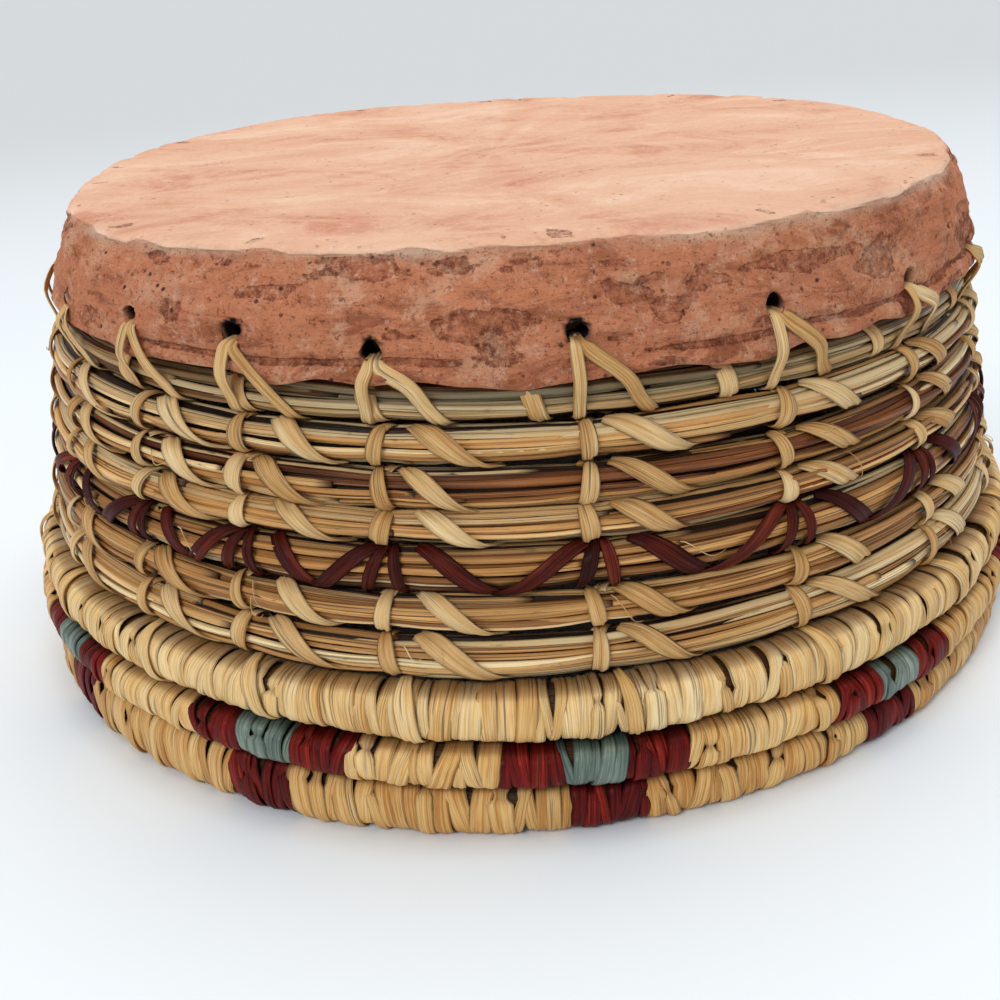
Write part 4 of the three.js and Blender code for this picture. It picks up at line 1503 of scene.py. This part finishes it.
    def inner_stitches(self, columns: Array, row: int) -> Skin:
        """Strands on the inner side of a row, which join one stitch to the next.

        Args:
            columns: Directions of the columns.
            row: The row.

        Returns:
            The strands.
        """
        count, share = len(columns), self.share
        head = columns[:, None] + self.draw(-0.5, 0.5, count)
        degrees = head + blend(0, self.draw(1.0, 3.5, count), share)
        angle = blend(*self.inner_arc, share)
        lift = 0.25 + 0.3 * np.sin(np.pi * share)
        width = self.draw(*self.inner_width, count)
        return self.over_row(np.full((count, 1), row), degrees, angle, lift, width, 0.0)

    def hole_strands(self, columns: Array, head: float, foot: Array, width: Array, inside: bool) -> Skin:
        """Strands from the holes over the lip and down the first row.

        Each follows a smooth curve through points given as direction, radius and height: in the
        hole, over its lower edge, down the wall, over the lip, over the row and into the groove.

        Args:
            columns: Directions of the holes.
            head: Degrees from the hole's middle to the strand's upper end.
            foot: Degrees from the hole's middle to its lower end, a column.
            width: Full width of each, a column.
            inside: Whether they run down the dish's inner side.

        Returns:
            The strands.
        """
        hole, lip = self.dish.hole_level, COIL.lip_height
        rise = np.array(self.dish.hole_rises)[:, None]
        turn = np.radians(columns)[:, None]
        wall = self.dish.wall_radius(turn, np.full_like(turn, hole - 1.5))
        row_radius = COIL.radii[0] - COIL.first_row_inset
        row_height = COIL.heights[0] - COIL.first_row_drop
        half_width, half_height = COIL.row_width / 2, (COIL.pitches[0] - COIL.turn_gap) / 2
        side = -1 if inside else 1
        thick = self.dish.wall_thickness if inside else 0.0
        lip_radius = self.dish.wall_radius(turn, np.full_like(turn, lip + 0.4)) - thick
        radii = [wall - thick - side * 3.2, wall - thick - side * 0.5, wall - thick + side * 0.8,
                 lip_radius + side * 1.35, row_radius + side * (half_width + 0.7) + 0 * wall,
                 row_radius + side * (half_width * 0.75 + 0.4) + 0 * wall, row_radius + side * 0.6 + 0 * wall]
        heights = [hole - 1.35 + rise, hole - 1.6 + rise, hole - 2.7 + rise, lip + 0.4 + 0 * rise,
                   row_height + 0 * rise, row_height - half_height * 0.8 + 0 * rise,
                   row_height - half_height - 0.3 + 0 * rise]
        shares = [0, 0.02, 0.10, 0.52, 0.74, 0.92, 1.0]
        tilts = [1.4, 0.9, 0.15, 0.0, 0.0, -0.6, -1.2]
        radius = np.concatenate(radii, axis=1)
        reach = head + (foot - head) * np.array(shares)[None]
        direction = np.radians(columns[:, None] + reach)
        controls = np.stack([radius * np.cos(direction), radius * np.sin(direction),
                             np.concatenate(heights, axis=1)], -1)
        middle = smooth_path(controls, self.ribbon.steps)
        tilt = np.interp(self.share[0] * (len(tilts) - 1), np.arange(len(tilts)), tilts)[None]
        flat = np.interp(self.share[0] * (len(shares) - 1), np.arange(len(shares)), shares)[None]
        facing = np.radians(columns[:, None] + head + (foot - head) * flat)
        normal = np.stack([side * np.cos(tilt) * np.cos(facing), side * np.cos(tilt) * np.sin(facing),
                           np.sin(tilt) + 0 * facing], -1)
        swell = blend(0.62, 1, ease(self.share / 0.35))
        seeds = self.random.uniform(0, 1, len(columns))
        return self.ribbon.wrap(middle, normal, width * swell, 0 * middle[..., 0], seeds)

    def frays(self, columns: Array) -> Skin:
        """Loose fibres that lift off the strands here and there.

        Args:
            columns: Directions of the columns.

        Returns:
            One fibre for each column.
        """
        count = len(columns)
        thin = Ribbon(steps=10, top_points=3, thickness=0.16, crease=0.0)
        share = np.linspace(0, 1, thin.steps + 1)[None]
        row = self.random.integers(1, COIL.rows, (count, 1))
        start = self.draw(1.0, 8.0, count)
        degrees = columns[:, None] + start + blend(0, self.draw(-1.0, 5.0, count), share)
        angle = blend(self.draw(-0.2, 1.2, count), self.draw(-0.9, 0.4, count), share)
        angle = angle + 0.2 * np.sin(share * 5 + start)
        moved = (degrees - columns[:, None] - start) / COIL.step_angle
        place = COIL.place_of(columns[:, None] + start, row) + moved
        half_width, half_height = COIL.bundle_size(place, self.bundle.grain)
        lift = 0.7 + self.draw(0.3, 1.4, count) * np.sin(np.pi * share * 0.9)
        middle = COIL.point(place, (half_width + lift) * np.cos(angle), (half_height + lift) * np.sin(angle))
        width = 0.28 * blend(1, 0.3, share) + 0 * degrees
        seeds = self.random.uniform(0, 0.6, count)
        return thin.wrap(middle, COIL.outward(place, angle), width, 0 * degrees, seeds)

    def build(self) -> None:
        """Makes one piece for each column of straw stitches."""
        columns = COIL.columns
        rows = [row for row in range(1, COIL.rows) if row != self.zigzag_row]
        count = len(columns)
        skins = [self.hole_strands(columns, head, self.draw(*foot, count), self.draw(*width, count), inside)
                 for head, foot, width, inside in self.hole_layout]
        skins.append(self.short_stitches(columns))
        for row in rows:
            skins += [self.uprights(columns, row), self.wings(columns, row)]
        skins += [self.inner_stitches(columns, row) for row in range(COIL.rows)]
        skins += [self.frays(columns), self.frays(columns)]
        material = STRAW.make()
        for index in range(count):
            one = slice(index, index + 1)
            parts = [skin.chosen(one) for skin in skins]
            name = f"{index + 1:02d}"
            make_piece(f"lacing_strands_{name}", parts, material, [f"lacing_{name}"])

    def build_zigzag(self) -> None:
        """Makes the burgundy zigzag over one row: down and up again between columns, and a pair at each."""
        columns = np.sort(COIL.columns)
        count, share, row = len(columns), self.share, np.full((len(columns), 1), self.zigzag_row)
        after = np.roll(columns, -1) + np.where(np.arange(count) == count - 1, 360, 0)
        valley = (columns + after)[:, None] / 2 + self.draw(-0.6, 0.8, count)
        column, after = columns[:, None], after[:, None]
        belly = np.sin(np.pi * share)
        down = blend(column + self.draw(2.6, 4.2, count), valley + 0.9, share)
        rise = blend(valley - 0.6, after - self.draw(0.1, 0.6, count), share)
        skins = [self.over_row(row, down, blend(1.5, -1.35, share), 0.4 + 0.3 * belly,
                               self.draw(3.0, 3.8, count) * (0.75 + 0.25 * belly), (share - 0.4) * 0.4),
                 self.over_row(row, rise, blend(-1.3, 1.5, share), 0.75 + 0.35 * belly,
                               self.draw(2.6, 3.2, count) * (0.8 + 0.2 * belly), (0.5 - share) * 0.4)]
        left = column + blend(0.3, self.draw(-2.2, -1.4, count), share)
        right = column + blend(0.9, self.draw(1.0, 2.0, count), share)
        for foot in (left, right):
            angle = blend(1.6, self.draw(-1.5, -1.1, count), share)
            width = self.draw(2.0, 2.7, count) * (0.65 + 0.35 * belly)
            skins.append(self.over_row(row, foot, angle, 0.7 + 0.35 * belly, width, (share - 0.5) * 0.5))
        make_piece("zigzag_strands", skins, DARK_BURGUNDY.make(), ["zigzag_stitch"])


@dataclass(frozen=True)
class Stretch:
    """Part of the rim that is wrapped in one colour.

    Attributes:
        piece: Name of the piece that it belongs to.
        node: CAD node that the piece stands for.
        slot: The record's slot for its raffia.
        start: Place where it starts.
        end: Place where it ends.
    """

    piece: str
    node: str
    slot: Slot
    start: float
    end: float


@dataclass
class RimWrap:
    """The rim's coils, wrapped all over with raffia, turn beside turn, in blocks of colour."""

    wrap_width: float = 2.5
    dyed_width: float = 2.0
    section_power: float = 2.5
    wrap_depth: float = 0.45
    laps: int = 28
    # How far each edge of a turn reaches past its place, swings with the angle, and is pulled
    # back beside a fan, as shares of the turn's half width
    overlap: float = 1.24
    swing: float = 0.16
    pull: float = 0.34
    # Degrees that each block of colour covers: the teal one, those beside it and the one under it
    teal_arc: float = 5.6
    burgundy_arc: float = 5.4
    lower_arc: float = 7.0
    # Degrees by which each block under a motif strays from it
    lower_strays: tuple[float, ...] = (0.4, -0.8, 0.6, -0.5, -1.6, 1.4, 0.0, 0.3, -0.4, 0.7, -0.6)

    def __post_init__(self) -> None:
        """Starts the random draws."""
        self.random = np.random.default_rng(77)
        self.grain = Grain(31)

    def stretches(self) -> list[Stretch]:
        """Lists the rim's blocks of colour.

        Returns:
            The stretches, in order of their CAD nodes.
        """
        steps, step = COIL.steps, COIL.step_angle
        first = COIL.rows * steps + steps - COIL.start_lead / step
        spacing = 360 / COIL.motifs / step
        teal, lower = self.teal_arc / 2 / step, self.lower_arc / 2 / step
        motif = teal + self.burgundy_arc / step
        last_end = (COIL.levels - 1) * steps + steps - 0.5
        numbers = np.arange(COIL.motifs + 1)
        places = first + spacing * numbers + np.array(COIL.motif_strays)[numbers % COIL.motifs] / step
        lowers = places + steps + np.array(self.lower_strays)[numbers % COIL.motifs] / step
        upper_start = float(COIL.rows * steps)
        found = [Stretch("wrap_upper", "rim_wrap_upper", Slot.STRAW, upper_start, places[0] - motif)]
        for index in range(COIL.motifs):
            name, place, below = f"{index + 1:02d}", places[index], lowers[index]
            is_last = index == COIL.motifs - 1
            middle_end = lowers[0] - lower if is_last else places[index + 1] - motif
            lower_end = last_end if is_last else lowers[index + 1] - lower
            for node, slot, start, end in (
                    ("rim_teal", Slot.TEAL, place - teal, place + teal),
                    ("rim_burgundy", Slot.BURGUNDY, place - motif, place - teal),
                    ("rim_burgundy", Slot.BURGUNDY, place + teal, place + motif),
                    ("rim_burgundy", Slot.BURGUNDY, below - lower, below + lower),
                    ("rim_straw", Slot.STRAW, place + motif, middle_end),
                    ("rim_straw", Slot.STRAW, below + lower, lower_end)):
                found.append(Stretch(f"{node}_wraps_{name}", f"{node}_{name}", slot, start, end))
        return found

    def section(self, place: Array, angle: Array, lift: Array) -> tuple[Array, Array]:
        """Outline of a wrapped coil: a rounded box, half sizes times the cosine and sine to a power.

        Args:
            place: Places along the coil.
            angle: Angle round it in radians.
            lift: Height over the wraps' underside, in mm.

        Returns:
            Lengths outwards and upwards in mm.
        """
        power = 2 / self.section_power
        cosine, sine = np.cos(angle), np.sin(angle)
        tip = 1 - 0.55 * ease((place - (COIL.levels * COIL.steps - COIL.climb_steps)) / 1.6)
        half_width = (COIL.rim_width / 2 - self.wrap_depth) * tip
        half_height = ((COIL.follow(place, COIL.pitches) - COIL.turn_gap) / 2 - self.wrap_depth + 0.12) * tip
        out = (half_width + lift) * np.sign(cosine) * np.abs(cosine) ** power
        up = (half_height + lift) * np.sign(sine) * np.abs(sine) ** power
        return out, up - (1 - tip) * half_height

    def wraps(self, stretch: Stretch) -> Skin:
        """Turns of raffia side by side over one stretch.

        Each turn is a closed flat band round the coil that laps over its neighbours. Its two edges
        swing with the angle, it leans a little, and its back has lengthwise creases. Some turns
        come out of a small hole on the upper side, between their neighbours, and fan out downwards.

        Args:
            stretch: The stretch.

        Returns:
            The turns.
        """
        mean = self.wrap_width if stretch.slot is Slot.STRAW else self.dyed_width
        step_mm = float(COIL.mm_per_step(np.array(stretch.start)))
        count = max(1, round((stretch.end - stretch.start) * step_mm / mean))
        parts = self.random.uniform(0.55, 1.5, count)
        shares = np.concatenate([[0], np.cumsum(parts)]) / parts.sum()
        edges = stretch.start + shares * (stretch.end - stretch.start)
        middle = ((edges[1:] + edges[:-1]) / 2)[:, None, None]
        half = (np.diff(edges) / 2 * step_mm)[:, None, None]
        lap = np.pi + np.linspace(0, TAU, self.laps, endpoint=False)[None, :, None]
        draws = self.random.uniform(0, 1, (9, count, 1, 1))
        fans, slant, hole_place, left_phase, right_phase, crease_phase, lying, wobble, rag = draws
        fan = (fans > 0.45) & (np.arange(count)[:, None, None] % 4 == 1)
        lean = (slant - 0.5) * np.where(wobble > 0.6, 3.4, 1.4) * np.sin(lap)
        hole = np.degrees(blend(0.15, 1.0, hole_place))
        from_hole = turned_by(np.degrees(lap), hole)
        above = ease((from_hole + 14) / 14) * ease((100 - from_hole) / 30)
        notch = bell(turned_by(np.degrees(lap), hole + 4), 9.0)
        narrow = np.where(fan, 0.34 * above + 0.42 * notch, 0.0)
        pulled_left, pulled_right = np.roll(fan, 1, axis=0) * notch, np.roll(fan, -1, axis=0) * notch
        v = np.array([-1.0, -0.62, -0.2, 0.24, 0.64, 1.0, 0.6, -0.6])
        left_swing = self.swing * np.sin(lap + TAU * left_phase)
        right_swing = self.swing * np.sin(lap + TAU * right_phase)
        left_half = half * (self.overlap + left_swing - narrow - self.pull * pulled_left)
        right_half = half * (self.overlap + right_swing - narrow - self.pull * pulled_right)
        shift = np.where(v < 0, left_half, right_half) * v + lean
        arch = np.array([0.08, 0.20, 0.25, 0.25, 0.20, 0.08, -0.4, -0.4])
        phase = TAU * crease_phase
        folds = 0.06 * np.sin(5.1 * v + phase) + 0.05 * np.sin(10.3 * v + 2 * phase)
        over = np.where(fan, 0.22 - 0.75 * notch, 0.0) + (lying - 0.5) * 0.34
        ragged = 0.55 * rag * np.clip(-np.sin(lap), 0, 1)
        waving = 0.10 * np.sin(lap * 2 + TAU * wobble)
        lift = arch + np.where(arch > 0.1, folds, 0) + over + ragged + waving
        place = np.broadcast_to(middle + shift / step_mm, (count, self.laps, len(v)))
        out, up = self.section(place, np.broadcast_to(lap, place.shape), lift)
        up = np.maximum(up, 0.02 - COIL.follow(place, COIL.heights) + 0 * up)
        rings = COIL.point(place, out, up)
        along = np.broadcast_to(lap[..., 0] * 4.8, (count, self.laps))
        across = np.append(v, -1.0) * mean / 2
        level = COIL.level_at(middle)
        # Painted shade: the lower coils, which lie in the shade of the coil above, are tinted darker, straw
        # more than dyed raffia.
        lower_coil_shade = 0.6 if stretch.slot is Slot.STRAW else 0.42
        lower = np.clip(level - COIL.rows, 0, 2) / 2
        tint = self.random.uniform(0, 0.66, (count, 1, 1)) + lower_coil_shade * lower
        # Painted shade: along the edges of each turn, at the small hole where a fanned turn comes out, and at
        # the coil's top and bottom, where the coils meet.
        shade = 0.25 * np.abs(v) ** 10 + 0.4 * np.where(fan, notch, 0) + 0 * middle
        shade = np.clip(shade + 0.75 * ease((np.abs(np.sin(lap)) - 0.74) / 0.26), 0, 0.9)
        return Skin(rings, along, across, {"tint": np.broadcast_to(tint, place.shape),
                                           "shade": np.broadcast_to(shade, place.shape)}, looped=True)

    def core(self) -> Skin:
        """Needle core under the wraps, painted with shade.

        Returns:
            One tube through the rim's coils.
        """
        around = 16
        place = np.arange(COIL.rows * COIL.steps + 0.4, COIL.levels * COIL.steps - 0.6, 0.5)[None, :, None]
        lap = np.linspace(0, TAU, around, endpoint=False)[None, None]
        out, up = self.section(place, lap, -0.6 + 0 * lap)
        rings = COIL.point(np.broadcast_to(place, out.shape), out, up)
        # Painted shade: the core is coloured mostly with the needles' near-black shade colour.
        marks = {"tint": np.full(out.shape, 0.7), "shade": np.full(out.shape, 0.85),
                 "cut": np.zeros(out.shape)}
        return Skin(rings, place[..., 0] * 27.0, np.linspace(0, 30, around + 1), marks)

    def overstrands(self) -> Skin:
        """Strands that run from the last bare row over the upper coil, one at each column of stitches.

        Returns:
            The strands.
        """
        ribbon = Ribbon()
        columns = COIL.columns
        count = len(columns)
        share = np.linspace(0, 1, ribbon.steps + 1)[None]
        head = self.random.uniform(0.6, 2.0, (count, 1))
        degrees = columns[:, None] + head + self.random.uniform(1.2, 3.6, (count, 1)) * share
        start = COIL.place_of(columns[:, None] + head, COIL.rows)
        place = start + (degrees - degrees[:, :1]) / COIL.step_angle
        angle = blend(1.9, -1.3, share) + 0 * place
        out, up = self.section(place, angle, self.wrap_depth + 0.15 + 0.3 * np.sin(np.pi * share) + 0 * place)
        middle = COIL.point(place, out, up)
        width = self.random.uniform(2.6, 3.6, (count, 1)) * (0.6 + 0.4 * ease(share / 0.4)) + 0 * place
        seeds = self.random.uniform(0, 0.7, count)
        return ribbon.wrap(middle, COIL.outward(place, angle), width, 0 * place, seeds)

    def build(self) -> None:
        """Makes the core, and one piece for each CAD node of the rim."""
        needles = NeedleFinish(name="rim_needle").make()
        make_piece("rim_core_in_shade", [self.core()], needles, list(COIL.nodes))
        materials = {slot: finish.make() for slot, finish in SLOT_FINISHES.items()}
        pieces: dict[str, tuple[Stretch, list[Skin]]] = {}
        for stretch in self.stretches():
            pieces.setdefault(stretch.piece, (stretch, []))[1].append(self.wraps(stretch))
        pieces["wrap_upper"][1].append(self.overstrands())
        for name, (stretch, skins) in pieces.items():
            make_piece(name, skins, materials[stretch.slot], [stretch.node])


@dataclass(frozen=True)
class Lamp:
    """Distant lamp: its turn from pointing straight down and its width, in radians, and its power."""

    name: str
    turn: tuple[float, float, float]
    width: float
    power: float


@dataclass
class Studio:
    """Camera, lamps, floor and world."""

    # Camera's place in mm, and the degrees that it looks down and that it is turned about its view
    location: tuple[float, float, float] = (-3.95, -276.95, 140.31)
    elevation: float = 24.6402
    roll: float = 4.6450
    # Degrees that the camera is carried round the basket, to meet the holes and blocks of colour
    carried: float = -1.13
    # Focal length in pixels of the 1000-pixel photograph
    focal: float = 1253.2
    picture: float = 1000.0
    sensor: float = 36.0
    # A broad soft light from above and behind, and one from the front left
    suns: tuple[Lamp, ...] = (Lamp("overhead", (-0.30, 0.10, 0.0), 1.0, 1.55),
                              Lamp("front_left", (0.80, 0.0, -0.50), 0.4, 1.15))
    # Even pale light from all round
    sky: tuple[int, int, int] = (244, 247, 250)
    sky_strength: float = 0.43
    # Half the floor's side, and where behind the basket painted shade darkens it, in metres
    floor_half: float = 6.0
    floor_fade: tuple[float, float] = (-0.1, 0.95)
    floor_near: tuple[int, int, int] = (240, 246, 250)
    floor_far_shaded: tuple[int, int, int] = (205, 208, 210)

    def camera(self) -> None:
        """Places the camera at the photograph's view."""
        data = bpy.data.cameras.new("view")
        data.sensor_width = self.sensor
        data.lens = self.focal / self.picture * self.sensor
        data.clip_start = 0.01
        camera = bpy.data.objects.new("view", data)
        carried = Matrix.Rotation(np.radians(self.carried), 4, "Z")
        place = Matrix.Translation(Vector(self.location) * MM)
        looking_down = Matrix.Rotation(np.radians(90 - self.elevation), 4, "X")
        rolled = Matrix.Rotation(np.radians(-self.roll), 4, "Z")
        camera.matrix_world = carried @ place @ looking_down @ rolled
        bpy.context.scene.collection.objects.link(camera)
        bpy.context.scene.camera = camera

    def lamps(self) -> None:
        """Hangs the lamps."""
        for sun in self.suns:
            data = bpy.data.lights.new(sun.name, "SUN")
            data.angle, data.energy = sun.width, sun.power
            lamp = bpy.data.objects.new(sun.name, data)
            lamp.rotation_euler = sun.turn
            bpy.context.scene.collection.objects.link(lamp)

    def world(self) -> None:
        """Lights the scene from all round."""
        world = bpy.data.worlds.new("studio")
        bpy.context.scene.world = world
        world.use_nodes = True
        background = world.node_tree.nodes["Background"]
        background.inputs["Color"].default_value = tone(*self.sky)
        background.inputs["Strength"].default_value = self.sky_strength

    def floor(self) -> None:
        """Plain pale floor with painted shade that darkens it slightly far behind the basket."""
        half = self.floor_half
        corners = [(-half, -half, 0), (half, -half, 0), (half, half, 0), (-half, half, 0)]
        mesh = bpy.data.meshes.new("floor")
        mesh.from_pydata(corners, [], [(0, 1, 2, 3)])
        recipe = Recipe("floor")
        across = recipe.node("ShaderNodeSeparateXYZ", inputs={0: recipe.place()}, output="Y")
        # Painted shade: the floor's colour darkens from near to far behind the basket, where less light
        # falls.
        colour = recipe.mix(tone(*self.floor_near), tone(*self.floor_far_shaded), across.between(*self.floor_fade))
        mesh.materials.append(recipe.finish(Base_Color=colour, Roughness=0.95, Specular_IOR_Level=0.1))
        floor = bpy.data.objects.new("floor", mesh)
        bpy.context.scene.collection.objects.link(floor)

    def build(self) -> None:
        """Sets the scene."""
        bpy.context.scene.view_settings.view_transform = "Standard"
        self.camera()
        self.lamps()
        self.world()
        self.floor()


def main() -> None:
    """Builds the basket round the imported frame."""
    logging.basicConfig(level=logging.INFO, format="%(message)s")
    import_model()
    Studio().build()
    dish = ClayDish()
    dish.build()
    bundle = NeedleBundle()
    bundle.build()
    lacing = Lacing(dish, bundle)
    lacing.build()
    lacing.build_zigzag()
    RimWrap().build()


if __name__ == "__main__":
    main()
